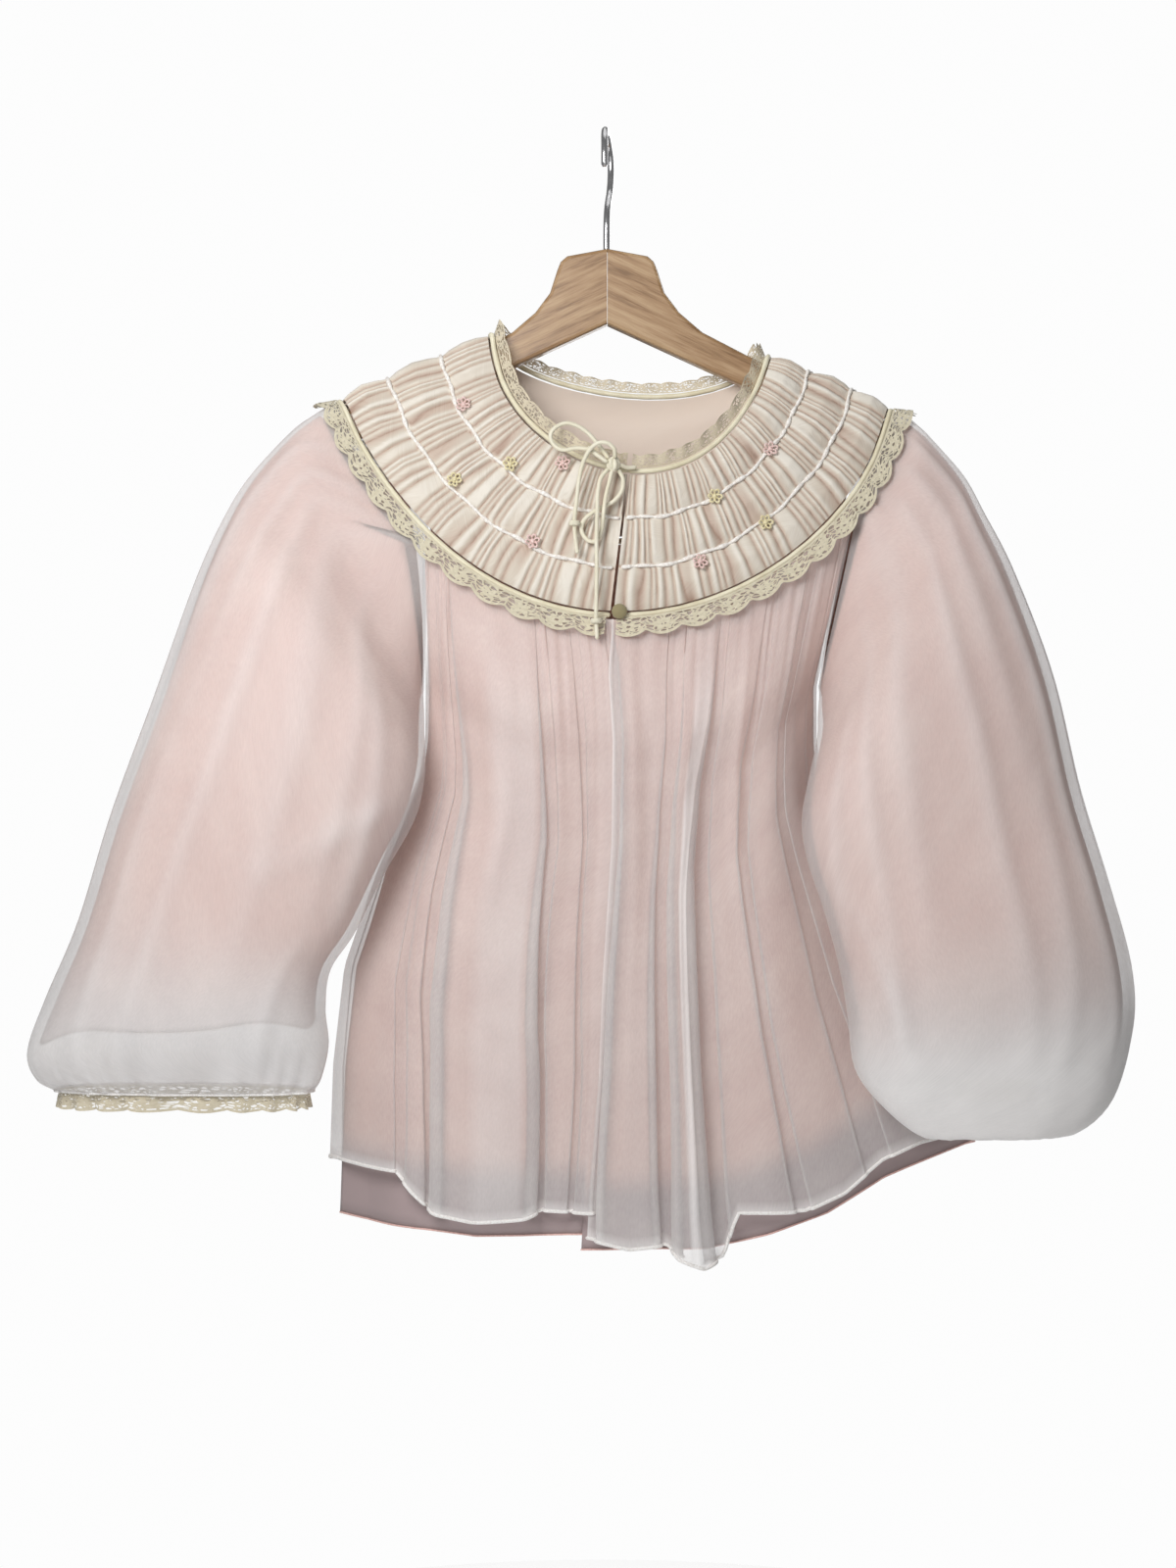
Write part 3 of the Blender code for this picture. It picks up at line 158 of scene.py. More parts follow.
DOUBLED_AND_HIGHLIT = {("front_left", 2): 0.28, ("front_left", 4): 0.12, ("front_right", 0): 0.10, ("front_right", 1): 0.70,
           ("front_right", 4): 0.15}   # folds whose cloth lies double to the right of their middle; the right front's fold 1 is also set brighter as a painted highlight
PAINTED_VALLEY_SHADE = {("front_left", 2): 1, ("front_left", 3): 0.55, ("front_left", 5): 0, ("front_right", 0): 0,
          ("front_right", 2): 0.6, ("front_right", 3): 0.4}   # painted shade in the valleys between folds, strongest where they lie lowest; other valleys get 0.25
TURN_STEPS = [math.radians(angle) for angle in (-90, -62, -34, -8, 18, 42, 66, 90)]
TOP_POINTS = 10          # across the top of a fold
VALLEY_POINTS = 7        # between two folds
BODY_ROWS = 60
BODY_LENGTH = 350.0
HEM_BAND = 3.0           # denser band above the hem, and along the opening
HEM_DENSE = 0.75
OPENING_DENSE = 0.5
HIGH_EDGE_DENSE = 0.62
LOW_EDGE_DENSE = 0.22
SWAY = 0.007             # of a fold's edges, as a share of the panel
SEAM_GATHER = 1.9        # height of the gathers below the yoke seam
GATHERED_PART = 0.34     # of the panel's length
CLOTH_RIPPLE = 0.4
HIGH_FOLD = 7.0          # a fold that rises more tucks in fully and has brighter edges
LINING_ROWS = 48
LINING_COLUMNS = 91
LINING_LAP = 7.0         # the right lining over the left

HemPoint = namedtuple("HemPoint", "at z")
HEM_FRONT_LEFT = table(HemPoint,
    (0, -627), (0.27, -629), (0.33, -640), (0.41, -652), (0.56, -657), (0.74, -655), (0.80, -651), (1, -653),
)
HEM_FRONT_RIGHT = table(HemPoint,
    (0, -667), (0.10, -673), (0.19, -671), (0.22, -678), (0.28, -683), (0.33, -678), (0.36, -652), (0.53, -652),
    (0.63, -642), (0.73, -624), (0.83, -615), (1, -609),
)
HEM_BACK = table(HemPoint,
    (0, -628), (0.15, -640), (0.50, -648), (0.80, -636), (1, -610),
)
LINING_HEM_FRONT_LEFT = table(HemPoint,
    (0, -662), (0.35, -664), (0.55, -668), (1, -667),
)
LINING_HEM_FRONT_RIGHT = table(HemPoint,
    (0, -676), (0.30, -675), (0.45, -667), (0.60, -655), (0.75, -636), (0.88, -626), (1, -617),
)
LINING_HEM_BACK = table(HemPoint,
    (0, -662), (0.30, -664), (0.70, -655), (1, -618),
)

# Sleeves
SleeveRow = namedtuple("SleeveRow", "outer_x outer_z outer_y inner_x inner_z inner_y half_depth turned",
                       defaults=(0,))
SLEEVE_LEFT = table(SleeveRow,
    (-190.8, -182.3, 0, -112.6, -351.4, -8, 31), (-213, -206.5, -3, -112.2, -369.6, -19, 37),
    (-227.5, -232, -12, -112, -389.2, -26, 41), (-245.2, -274.3, -20, -118, -416.8, -30, 42),
    (-269.9, -348.5, -28, -133.3, -449.8, -30, 44), (-294.6, -415.7, -28, -150.9, -486.3, -28, 45),
    (-314.6, -480.4, -28, -166.2, -509.9, -28, 46), (-334.6, -526.4, -28, -169.2, -533.4, -28, 46),
    (-345.8, -557, -28, -167.4, -554, -28, 43), (-340.5, -573.5, -28, -172.1, -573.5, -28, 34),
    (-328.8, -580.8, -28, -177.7, -581.9, -28, 25),
)
SLEEVE_RIGHT = table(SleeveRow,
    (196.2, -184.5, 0, 131.2, -350, -9, 31), (216.6, -208.9, -3, 129.8, -367.5, -24, 37),
    (228.1, -234.5, -14, 123.6, -391.2, -41, 40), (243.6, -271.4, -28, 118.4, -418.3, -53, 40),
    (263.9, -333.8, -42, 120.7, -447, -58, 40), (278, -400.9, -50, 128.8, -473, -58, 41),
    (292.6, -453.9, -58, 137.4, -504.7, -58, 42), (306.4, -504.7, -58, 142.6, -534.1, -58, 42),
    (307.6, -542.2, -58, 147.2, -566.4, -58, 40), (296.1, -582.6, -58, 165.1, -589.5, -58, 34),
    (273.8, -602, -58, 185.3, -603.8, -58, 26, 0.4), (256.5, -596.1, -58, 199.7, -597.3, -58, 18, 0.9),
    (251.9, -582.4, -58, 203.8, -583.6, -58, 16, 1),
)
SLEEVE_COLUMNS = 160
SLEEVE_ROWS = 84
SLEEVE_GATHERS = 44      # at the armhole, all round
UNDERARM_BULGE = 4.5     # towards the body, which closes the armhole
BLOUSON_ROWS = 2.2       # above the cuff, drawn in by its elastic
# Painted highlight: sleeve crease crests and pucker ridges are whitened and made denser
CREASE_PAINTED_SHEEN = 0.06
PUCKER_PAINTED_HIGHLIGHT = 0.45
LOWER_DENSE = 0.22       # of both sleeves' lower part
TURNED_DENSE = 0.70      # of the right sleeve's bottom, which lies double where it turns in
CUFF_DENSE = 0.6
SLEEVE_LINING_ROWS = 56
RAGLAN_TURN = 75.0
LINING_SLEEVE_ROWS = (1, 9)
SleeveInset = namedtuple("SleeveInset", "row inset")
LINING_SLEEVE_INSET = table(SleeveInset,
    (1, 1.6), (2, 1.7), (3, 2.4), (4, 3.2), (5, 4), (6, 5), (8, 5), (9, 6),
)
# Creases of a sleeve: turn round it (90 is the front), share of its length, half width in degrees, rise
Crease = namedtuple("Crease", "turn_from turn_to down_from down_to half rise")
CREASES_LEFT = table(Crease,
    (20, 12, 0.02, 0.80, 5, 2), (38, 30, 0.02, 0.62, 6, 2.6), (55, 52, 0.02, 0.50, 5, 2.2),
    (66, 78, 0.04, 0.90, 5, 2.4), (78, 104, 0.05, 0.72, 6, 2.4), (95, 128, 0.10, 0.60, 6, 2),
    (46, 62, 0.45, 0.98, 6, 2), (112, 150, 0.22, 0.60, 8, 2.4), (150, 96, 0.40, 0.58, 8, 2),
    (132, 112, 0.60, 0.97, 6, 2.2), (8, -6, 0.30, 0.98, 6, 2), (-24, -16, 0.02, 0.70, 7, 2.4),
    (-48, -55, 0.04, 0.95, 6, 2.6), (-75, -88, 0.05, 0.60, 7, 2.4), (-104, -120, 0.20, 0.95, 7, 2.2),
    (-140, -150, 0.30, 0.90, 7, 2),
)
CREASES_RIGHT = table(Crease,
    (22, 14, 0.02, 0.84, 5, 2.2), (36, 40, 0.02, 0.86, 5, 2.8), (52, 60, 0.03, 0.60, 6, 2.2),
    (68, 84, 0.04, 0.88, 5, 2.6), (84, 108, 0.05, 0.70, 6, 2.4), (104, 132, 0.12, 0.84, 6, 2.2),
    (48, 72, 0.50, 0.88, 6, 2), (120, 158, 0.24, 0.66, 8, 2.2), (6, -8, 0.25, 0.88, 6, 2),
    (142, 120, 0.55, 0.88, 7, 2), (-24, -16, 0.02, 0.70, 7, 2.4), (-48, -55, 0.04, 0.88, 6, 2.6),
    (-75, -88, 0.05, 0.60, 7, 2.4), (-104, -120, 0.20, 0.88, 7, 2.2), (-140, -150, 0.30, 0.86, 7, 2),
)
CUFF_PUCKERS = 26

# Lace
NECK_LACE_DEPTH = 9.5
NECK_LACE_WAVES = 40
YOKE_LACE_DEPTH = 12.0
YOKE_LACE_SCALLOPS = 52
CUFF_LACE_DEPTH = 10.5
CUFF_LACE_WAVES = 20
NECK_LACE_WAVE = 1.7     # how far each lace waves in and out
CUFF_LACE_WAVE = 1.9

Flower = namedtuple("Flower", "name angle u back colour")
FLOWERS = table(Flower,
    ("flower_1", 153, 0.29, 2.9, "pink"), ("flower_2", 129, 0.29, 3.1, "yellow"),
    ("flower_3", 62, 0.33, 2.5, "yellow"), ("flower_4", 40, 0.33, 2.7, "pink"),
    ("flower_5", 136, 0.63, 3.1, "yellow"), ("flower_6", 112, 0.65, 2.6, "pink"),
    ("flower_7", 71, 0.73, 3.5, "pink"), ("flower_8", 53, 0.70, 2.9, "yellow"), ("flower_9", 115, 0.09, 4, "pink"),
)
FLOWER_PETALS = 6

# Bow: the knot, and the routes of the cords from the knot, in x, y, z
KNOT = (4.3, -45.5, -208)
KNOT_RADIUS = 4.4
BOW_ROUTES = {
    "bow_lead_left": ((0, -43.5, -206.4), (-6, -41, -201.5), (-10, -39.5, -197.5)),
    "bow_lead_right": ((8.6, -43.6, -208.4), (13, -41, -209.5), (17, -39.5, -209)),
    "bow_loop_upper": (
        (0.9, -44.6, -203.7), (-4, -44, -197), (-9.5, -43.5, -190.5), (-16, -43.5, -185.5),
        (-23.6, -43, -183.2), (-30.5, -43, -186), (-33.2, -43.5, -191), (-31, -44.5, -196.5),
        (-25.5, -45.5, -199.6), (-18, -46.5, -198.6), (-10.5, -47.5, -199.5), (-4.5, -48.5, -203.5),
        (0, -48.2, -206.6),
    ),
    "bow_tail_short": (
        (5.2, -48.5, -203.6), (4.6, -50.5, -199.5), (0.6, -51.5, -196.2), (-5.2, -51.8, -196.4),
        (-10.4, -51.5, -201), (-14.2, -50.5, -209), (-16.4, -48.5, -219), (-17.6, -46.8, -230),
        (-18.9, -45.6, -241), (-18.4, -45.2, -251), (-17.2, -45, -260),
    ),
    "bow_loop_lower": (
        (7.6, -44.2, -211.6), (10, -43.6, -216.5), (9.2, -43, -223.5), (4.9, -43, -229.2),
        (-1.8, -43, -233), (-8.5, -43, -236.6), (-13.7, -43, -241.8), (-14.4, -43, -248),
        (-10.4, -43.2, -253.2), (-5.4, -43.8, -252.8), (-2.6, -45, -246), (-1.6, -46.4, -237),
        (-0.4, -47.2, -228), (1.6, -47.4, -219.5), (3.2, -47, -212.9),
    ),
    "bow_tail_long": (
        (0.6, -46.8, -211.4), (-3.4, -48, -217), (-5, -49, -226), (-5.4, -49.6, -238),
        (-5.8, -49.4, -252), (-5.6, -48.4, -268), (-5.8, -47.2, -284), (-6, -46.4, -297.5),
        (-5.4, -46, -311),
    ),
}
Bead = namedtuple("Bead", "name x y z tail")
BEADS = [Bead("bead_short", -18.85, -45.5, -243, "bow_tail_short"),
         Bead("bead_long", -5.95, -46.25, -301, "bow_tail_long")]
ROSETTE_HEART = 1.4
PETAL_RING = 1.65
PETAL_TUBE = 0.7
PETAL_REACH = 2.8        # from the heart to the middle of a petal
BEAD_RING = 2.365
BEAD_TUBE = 1.1875
BUTTON = (7.9, -41.8, -295)
BUTTON_SIZE = (4.6, 2.8, 4.6)


# Numbers and curves
def mix(a, b, share):
    return a + (b - a) * share


def ease(share):
    """Smooth step from 0 to 1."""
    share = np.clip(share, 0, 1)
    return share * share * (3.0 - 2.0 * share)


def read(rows, at):
    """Every later column of a table, read at a value of its first column."""
    rows = sorted(tuple(row) for row in rows)
    keys = [row[0] for row in rows]
    values = [np.interp(at, keys, [row[i] for row in rows]) for i in range(1, len(rows[0]))]
    return values[0] if len(values) == 1 else values


def unevenness(number):
    """A fixed value from 0 to 1 that differs from one gather to the next."""
    return 0.5 + 0.5 * math.sin(number * 2.4 + 1.3 * math.sin(number * 1.7))


def ripple(a, b, seed):
    """A smooth uneven value from -1 to 1 over two coordinates."""
    return (math.sin(a + 1.7 * seed + 1.3 * math.sin(0.8 * b + seed)) + math.sin(1.3 * b - 0.6 * a + 2.9 * seed)
            + math.sin(2.3 * a + 0.5 * b + 0.7 * seed)) / 3.0


def through(stops, t):
    """A place on a smooth curve through stops, t counted in stops."""
    last = len(stops) - 1
    k = min(last - 1, max(0, int(t)))
    share = t - k
    b, c = stops[k], stops[k + 1]
    a = stops[k - 1] if k > 0 else 2 * b - c
    d = stops[k + 2] if k + 2 <= last else 2 * c - b
    return 0.5 * (2 * b + (c - a) * share + (2 * a - 5 * b + 4 * c - d) * share ** 2
                  + (3 * b - a - 3 * c + d) * share ** 3)


def smooth_route(route, step):
    """Points at even steps along a smooth curve through the route's own points."""
    stops = [np.array(point, float) for point in route]
    fine = np.array([through(stops, t) for t in np.linspace(0, len(stops) - 1, 12 * (len(stops) - 1) + 1)])
    travelled = np.concatenate([[0.0], np.cumsum(np.linalg.norm(np.diff(fine, axis=0), axis=1))])
    places = np.linspace(0, travelled[-1], max(3, round(travelled[-1] / step) + 1))
    return np.array([[np.interp(at, travelled, fine[:, axis]) for axis in range(3)] for at in places])


def route_length(points):
    return float(np.linalg.norm(np.diff(points, axis=0), axis=1).sum())


# Materials
class Finish:
    """A material with short ways to add its nodes."""

    def __init__(self, name, roughness, **constants):
        self.made = bpy.data.materials.new(name)
        self.made.use_nodes = True
        self.tree = self.made.node_tree
        self.shader = self.tree.nodes["Principled BSDF"]
        self.surface(Roughness=roughness, **constants)
        place = self.tree.nodes.new("ShaderNodeTexCoord")
        self.uv = place.outputs["UV"]
        self.spot = place.outputs["Object"]

    def set(self, node, **inputs):
        for key, value in inputs.items():
            self.plug(node.inputs[key.replace("_", " ")], value)
        return node

    def add(self, kind, settings=None, **inputs):
        node = self.tree.nodes.new(kind)
        for key, value in (settings or {}).items():
            setattr(node, key, value)
        return self.set(node, **inputs)

    def plug(self, socket, value):
        if isinstance(value, bpy.types.NodeSocket):
            self.tree.links.new(value, socket)
        else:
            socket.default_value = value

    def sum(self, operation, a, b=0.0, c=0.0):
        node = self.add("ShaderNodeMath", {"operation": operation})
        for socket, value in zip(node.inputs, (a, b, c)):
            self.plug(socket, value)
        return node.outputs[0]

    def scaled(self, source, scale, turn=(0, 0, 0)):
        return self.add("ShaderNodeMapping", Vector=source, Scale=scale, Rotation=turn).outputs[0]

    def noise(self, source, scale, detail=3.0):
        """Noise at one scale, or at a scale for each direction."""
        if isinstance(scale, tuple):
            source, scale = self.scaled(source, scale), 1.0
        return self.add("ShaderNodeTexNoise", Vector=source, Scale=scale, Detail=detail).outputs["Fac"]

    def ramp(self, value, *stops):
        node = self.add("ShaderNodeValToRGB", Fac=value)
        points = node.color_ramp.elements
        while len(points) < len(stops):
            points.new(1)
        for point, (at, colour) in zip(points, stops):
            point.position = at
            point.color = (*colour, 1)
        return node.outputs["Color"]

    def blend(self, share, a, b):
        node = self.add("ShaderNodeMix", {"data_type": "RGBA"})
        self.plug(node.inputs[0], share)
        for number, value in ((6, a), (7, b)):
            self.plug(node.inputs[number], (*value, 1) if isinstance(value, tuple) else value)
        return node.outputs[2]

    def mark(self, name):
        return self.add("ShaderNodeAttribute", {"attribute_name": name}).outputs["Fac"]

    def surface(self, **inputs):
        self.set(self.shader, **inputs)

    def tones(self, value, *stops):
        self.surface(Base_Color=self.ramp(value, *stops))

    def bump(self, height, strength, distance):
        node = self.add("ShaderNodeBump", Height=height, Strength=strength, Distance=distance)
        self.surface(Normal=node.outputs[0])


# Colours
WHITE_CHIFFON = (0.92, 0.90, 0.89)
IVORY_CHIFFON = (0.80, 0.765, 0.75)
SHADED_CHIFFON = (0.71, 0.68, 0.68)
# Painted shade: the dark peach that the chiffon's valleys are darkened towards
PAINTED_SHADE_CHIFFON = (0.50, 0.31, 0.24)
# Painted shade: grey mauve for the body lining's lowest band, where it hangs in shade below the chiffon
LINING_HEM_PAINTED_SHADE = (0.42, 0.33, 0.33)
SLEEVE_END = (0.84, 0.79, 0.78)
SHIRRING_SHADE_TO_HIGHLIGHT = ((0.05, (0.39, 0.27, 0.21)), (0.36, (0.55, 0.44, 0.36)), (0.70, (0.64, 0.57, 0.48)),
                  (0.95, (0.76, 0.71, 0.63)))     # painted shade in the depths between gathers, where the rosy lining also shows through, up to painted highlight on the ridges
NECK_TONES = ((0.25, (0.72, 0.60, 0.51)), (0.75, (0.76, 0.65, 0.56)))
BLUSH_TONES = ((0.25, (0.80, 0.52, 0.44)), (0.75, (0.87, 0.60, 0.52)))
BUTTON_TONES = ((0, (0.24, 0.20, 0.10)), (1, (0.48, 0.42, 0.24)))
BEECH_TONES = ((0.36, (0.20, 0.105, 0.042)), (0.52, (0.36, 0.215, 0.105)), (0.70, (0.47, 0.315, 0.175)))
CHROME_TONES = ((0.3, (0.60, 0.60, 0.61)), (0.7, (0.78, 0.78, 0.79)))
FLOOR_TONES = ((0.3, (0.88, 0.88, 0.88)), (0.7, (0.90, 0.90, 0.90)))


def chiffon_finish():
    """Sheer chiffon: one layer lets the lining through, and its folds' edges and hem look denser; painted shade
    darkens the valleys where the fold mark is below zero.
    """
    made = Finish("chiffon", 0.62, Sheen_Weight=0.25, Sheen_Roughness=0.5, Specular_IOR_Level=0.25)
    threads = made.noise(made.uv, (900, 260, 1), 4)
    cloud = made.noise(made.uv, 22)
    fold = made.mark("fold")
    single = made.ramp(cloud, (0.3, SHADED_CHIFFON), (0.7, IVORY_CHIFFON))
    # A mark below zero is painted shade towards the valley colour; above zero it whitens denser cloth, and is a
    # painted highlight on sleeve crease crests, pucker ridges and the right front's fold 1
    shaded_valleys = made.blend(made.sum("MULTIPLY", fold, -1), single, PAINTED_SHADE_CHIFFON)
    made.surface(Base_Color=made.blend(fold, shaded_valleys, WHITE_CHIFFON))
    cover = made.sum("MULTIPLY_ADD", made.sum("MAXIMUM", fold, 0), 0.42, 0.30)
    cover = made.sum("MULTIPLY_ADD", cloud, 0.16, cover)
    cover = made.sum("MULTIPLY_ADD", threads, 0.14, cover)
    made.surface(Alpha=made.sum("MINIMUM", cover, 1))
    made.bump(threads, 0.25, 0.0004)
    return made.made


def shirring_finish():
    """Chiffon gathered in tight tubes, with painted light: a painted highlight along each ridge, painted shade in the
    rosy depths between.
    """
    made = Finish("shirred_chiffon", 0.6, Sheen_Weight=0.3, Sheen_Roughness=0.45, Specular_IOR_Level=0.3)
    crest = made.mark("fold")
    streak = made.noise(made.uv, (700, 90, 1), 4)
    height = made.sum("MULTIPLY_ADD", streak, 0.35, made.sum("SUBTRACT", crest, 0.17))
    made.tones(height, *SHIRRING_SHADE_TO_HIGHLIGHT)
    made.bump(streak, 0.4, 0.0006)
    return made.made


def neck_lining_finish():
    """The paler double cloth inside the yoke."""
    made = Finish("neck_lining", 0.5, Sheen_Weight=0.1, Specular_IOR_Level=0.35)
    weave = made.noise(made.uv, (1100, 1100, 1), 2)
    made.tones(made.noise(made.uv, 18), *NECK_TONES)
    made.bump(weave, 0.25, 0.0003)
    return made.made


def lining_finish(name, end):
    """Smooth blush lining with a slight sheen; towards its lower edge it takes the end colour, which for the body
    lining is painted shade.
    """
    made = Finish(name, 0.42, Sheen_Weight=0.15, Specular_IOR_Level=0.45)
    cloud = made.noise(made.uv, 14)
    weave = made.noise(made.uv, (1400, 1400, 1), 2)
    blush = made.ramp(cloud, *BLUSH_TONES)
    made.surface(Base_Color=made.blend(made.mark("fold"), blush, end))
    made.surface(Roughness=made.sum("MULTIPLY_ADD", cloud, 0.25, 0.3))
    made.bump(weave, 0.15, 0.0003)
    return made.made


def lace_finish(name, dark, light, density):
    """Net lace with a flower in each scallop; UV counts scallops across and runs 0 to 1 down to the edge."""
    made = Finish(name, 0.75, Sheen_Weight=0.2, Specular_IOR_Level=0.2)
    split = made.add("ShaderNodeSeparateXYZ", Vector=made.uv)
    across = made.sum("SUBTRACT", made.sum("FRACT", split.outputs[0]), 0.5)
    down = made.sum("MULTIPLY", made.sum("SUBTRACT", split.outputs[1], 0.52), 1.2)
    reach = made.sum("SQRT", made.sum("ADD", made.sum("MULTIPLY", across, across), made.sum("MULTIPLY", down, down)))
    turn = made.sum("ARCTAN2", down, across)
    petal = made.sum("MULTIPLY_ADD", made.sum("COSINE", made.sum("MULTIPLY", turn, 6)), 0.09, 0.27)
    flower = made.sum("LESS_THAN", reach, petal)
    eye = made.sum("GREATER_THAN", reach, 0.07)
    net = made.add("ShaderNodeTexVoronoi", {"feature": "DISTANCE_TO_EDGE"},
                   Vector=made.scaled(made.uv, (5, 6.5, 1)), Scale=1.0)
    mesh = made.sum("LESS_THAN", net.outputs["Distance"], density)
    rim = made.sum("GREATER_THAN", split.outputs[1], 0.86)
    root = made.sum("LESS_THAN", split.outputs[1], 0.10)
    cover = made.sum("MULTIPLY", flower, eye)
    for solid in (mesh, rim, root):
        cover = made.sum("MAXIMUM", cover, solid)
    made.surface(Alpha=made.sum("MULTIPLY_ADD", cover, 0.82, 0.16))
    made.surface(Base_Color=made.blend(made.noise(made.uv, (9, 9, 1)), dark, light))
    made.bump(cover, 0.6, 0.0005)
    return made.made


def satin_finish(name, dark, light, twill):
    """Satin-covered cord and piping: fine slanting ribs with a soft shine."""
    made = Finish(name, 0.36, Sheen_Weight=0.2, Specular_IOR_Level=0.5)
    slant = made.scaled(made.uv, (1.5, twill, 1))
    ribs = made.add("ShaderNodeTexWave", {"bands_direction": "DIAGONAL"}, Vector=slant, Scale=1.0, Distortion=0.6)
    cloud = made.noise(made.uv, (1, 60, 1))
    made.tones(cloud, (0.3, dark), (0.7, light))
    made.bump(ribs.outputs["Fac"], 0.35, 0.0003)
    return made.made


def thread_finish(name, dark, light, scale):
    """Embroidery thread or cotton, wound in small bright strands."""
    made = Finish(name, 0.55, Sheen_Weight=0.3, Specular_IOR_Level=0.35)
    strands = made.noise(made.spot, scale, 4)
    made.tones(strands, (0.35, dark), (0.65, light))
    made.bump(strands, 0.6, 0.0003)
    return made.made


def button_finish():
    """Khaki cloth drawn over a button."""
    made = Finish("covered_button", 0.6, Sheen_Weight=0.3, Specular_IOR_Level=0.3)
    weft = made.add("ShaderNodeTexWave", {"bands_direction": "Z"}, Vector=made.spot, Scale=900.0)
    warp = made.add("ShaderNodeTexWave", {"bands_direction": "X"}, Vector=made.spot, Scale=900.0)
    weave = made.sum("MULTIPLY", weft.outputs["Fac"], warp.outputs["Fac"])
    made.tones(weave, *BUTTON_TONES)
    made.bump(weave, 0.5, 0.0003)
    return made.made


def wood_finish(name, slope):
    """Light varnished beech, its grain along the arm."""
    made = Finish(name, 0.38, Coat_Weight=0.35, Coat_Roughness=0.2, Specular_IOR_Level=0.5)
    spot = made.scaled(made.spot, (1, 1, 1), (0, slope, 0))
    grain = made.noise(spot, (18, 260, 260), 6)
    rays = made.noise(spot, (90, 1400, 1400), 2)
    tone = made.sum("MULTIPLY_ADD", rays, 0.35, made.sum("MULTIPLY", grain, 0.75))
    made.tones(tone, *BEECH_TONES)
    made.surface(Roughness=made.sum("MULTIPLY_ADD", grain, 0.25, 0.28))
    made.bump(rays, 0.2, 0.0004)
    return made.made


def chrome_finish():
    """Chromed wire, slightly hazed."""
    made = Finish("chromed_steel", 0.18, Metallic=1.0)
    haze = made.noise(made.spot, 160)
    made.tones(haze, *CHROME_TONES)
    made.surface(Roughness=made.sum("MULTIPLY_ADD", haze, 0.2, 0.08))
    return made.made


CHIFFON = chiffon_finish()
SHIRRING = shirring_finish()
LINING = lining_finish("lining", LINING_HEM_PAINTED_SHADE)
SLEEVE_LINING = lining_finish("sleeve_lining", SLEEVE_END)
NECK_LINING = neck_lining_finish()
NECK_NET = lace_finish("neck_lace", (0.50, 0.42, 0.29), (0.80, 0.73, 0.58), 0.13)
YOKE_NET = lace_finish("yoke_lace", (0.48, 0.42, 0.29), (0.78, 0.73, 0.58), 0.12)
CUFF_NET = lace_finish("cuff_lace", (0.46, 0.39, 0.27), (0.76, 0.70, 0.55), 0.14)
PIPING = satin_finish("satin_piping", (0.68, 0.61, 0.42), (0.84, 0.79, 0.61), 900)
CORD = satin_finish("satin_cord", (0.72, 0.67, 0.50), (0.88, 0.84, 0.70), 1200)
HEM_THREAD = thread_finish("hem_stitching", (0.82, 0.78, 0.75), (0.96, 0.95, 0.93), 900)
EDGING = thread_finish("lining_edging", (0.72, 0.42, 0.38), (0.86, 0.60, 0.54), 900)
COTTON = thread_finish("gathering_thread", (0.74, 0.68, 0.62), (0.96, 0.94, 0.90), 700)
PETALS = {
    "pink": thread_finish("pink_petals", (0.66, 0.42, 0.38), (0.86, 0.70, 0.66), 1100),
    "yellow": thread_finish("yellow_petals", (0.64, 0.55, 0.30), (0.84, 0.77, 0.52), 1100),
}
BUTTON_CLOTH = button_finish()
CHROME = chrome_finish()


# Mesh makers
def finish_piece(piece, material, nodes=()):
    """Give a piece its material and body, and hide the frame's nodes that it replaces."""
    piece.data.materials.append(material)
    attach(piece, BODY)
    if nodes:
        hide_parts(*nodes)
    return piece


def new_piece(name, vertices, faces, corners):
    """A smooth mesh in the scene, with a UV place for each corner of its faces."""
    mesh = bpy.data.meshes.new(name)
    mesh.from_pydata(vertices, [], faces)
    layer = mesh.uv_layers.new(name="cut")
    layer.data.foreach_set("uv", np.array(corners).ravel())
    mesh.shade_smooth()
    piece = bpy.data.objects.new(name, mesh)
    bpy.context.scene.collection.objects.link(piece)
    return piece


def choose(*pieces):
    """Select pieces alone, the first of them active."""
    bpy.ops.object.select_all(action="DESELECT")
    for piece in pieces:
        piece.select_set(True)
    bpy.context.view_layer.objects.active = pieces[0]


def joined(parts, name):
    choose(*parts)
    bpy.ops.object.join()
    parts[0].name = name
    return parts[0]


def lengths_along(grid, axis):
    """Running length along a grid's rows or columns, in metres."""
    steps = np.linalg.norm(np.diff(grid, axis=axis), axis=2) * MM
    start = np.zeros_like(np.take(steps, [0], axis=axis))
    return np.concatenate([start, np.cumsum(steps, axis=axis)], axis=axis)


def cloth_mesh(name, grid, closed=False, flip=False, fold=None, uv=None):
    """A sheet from a grid of points, rows down and columns across; its UV is its own cut, in metres."""
    grid = np.asarray(grid, float)
    rows, columns = grid.shape[:2]
    around = np.concatenate([grid, grid[:, :1]], axis=1) if closed else grid
    if uv is None:
        uv = np.stack([lengths_along(around, 1), lengths_along(around, 0)], axis=2)
    faces = []
    corners = []
    for r in range(rows - 1):
        for c in range(columns if closed else columns - 1):
            places = [(r, c), (r + 1, c), (r + 1, c + 1), (r, c + 1)]
            if flip:
                places.reverse()
            faces.append([i * columns + j % columns for i, j in places])
            corners += [uv[i, j] for i, j in places]
    piece = new_piece(name, (grid.reshape(-1, 3) * MM).tolist(), faces, corners)
    if fold is not None:
        marks = piece.data.attributes.new("fold", "FLOAT", "POINT")
        marks.data.foreach_set("value", np.asarray(fold, float).ravel())
    return piece


def thicken(piece, wall):
    """Give a sheet its wall, inwards from its outer side."""
    choose(piece)
    shell = piece.modifiers.new("wall", "SOLIDIFY")
    shell.thickness = wall * MM
    shell.offset = -1.0
    shell.use_even_offset = False
    bpy.ops.object.modifier_apply(modifier=shell.name)
    piece.data.shade_smooth()
    return piece


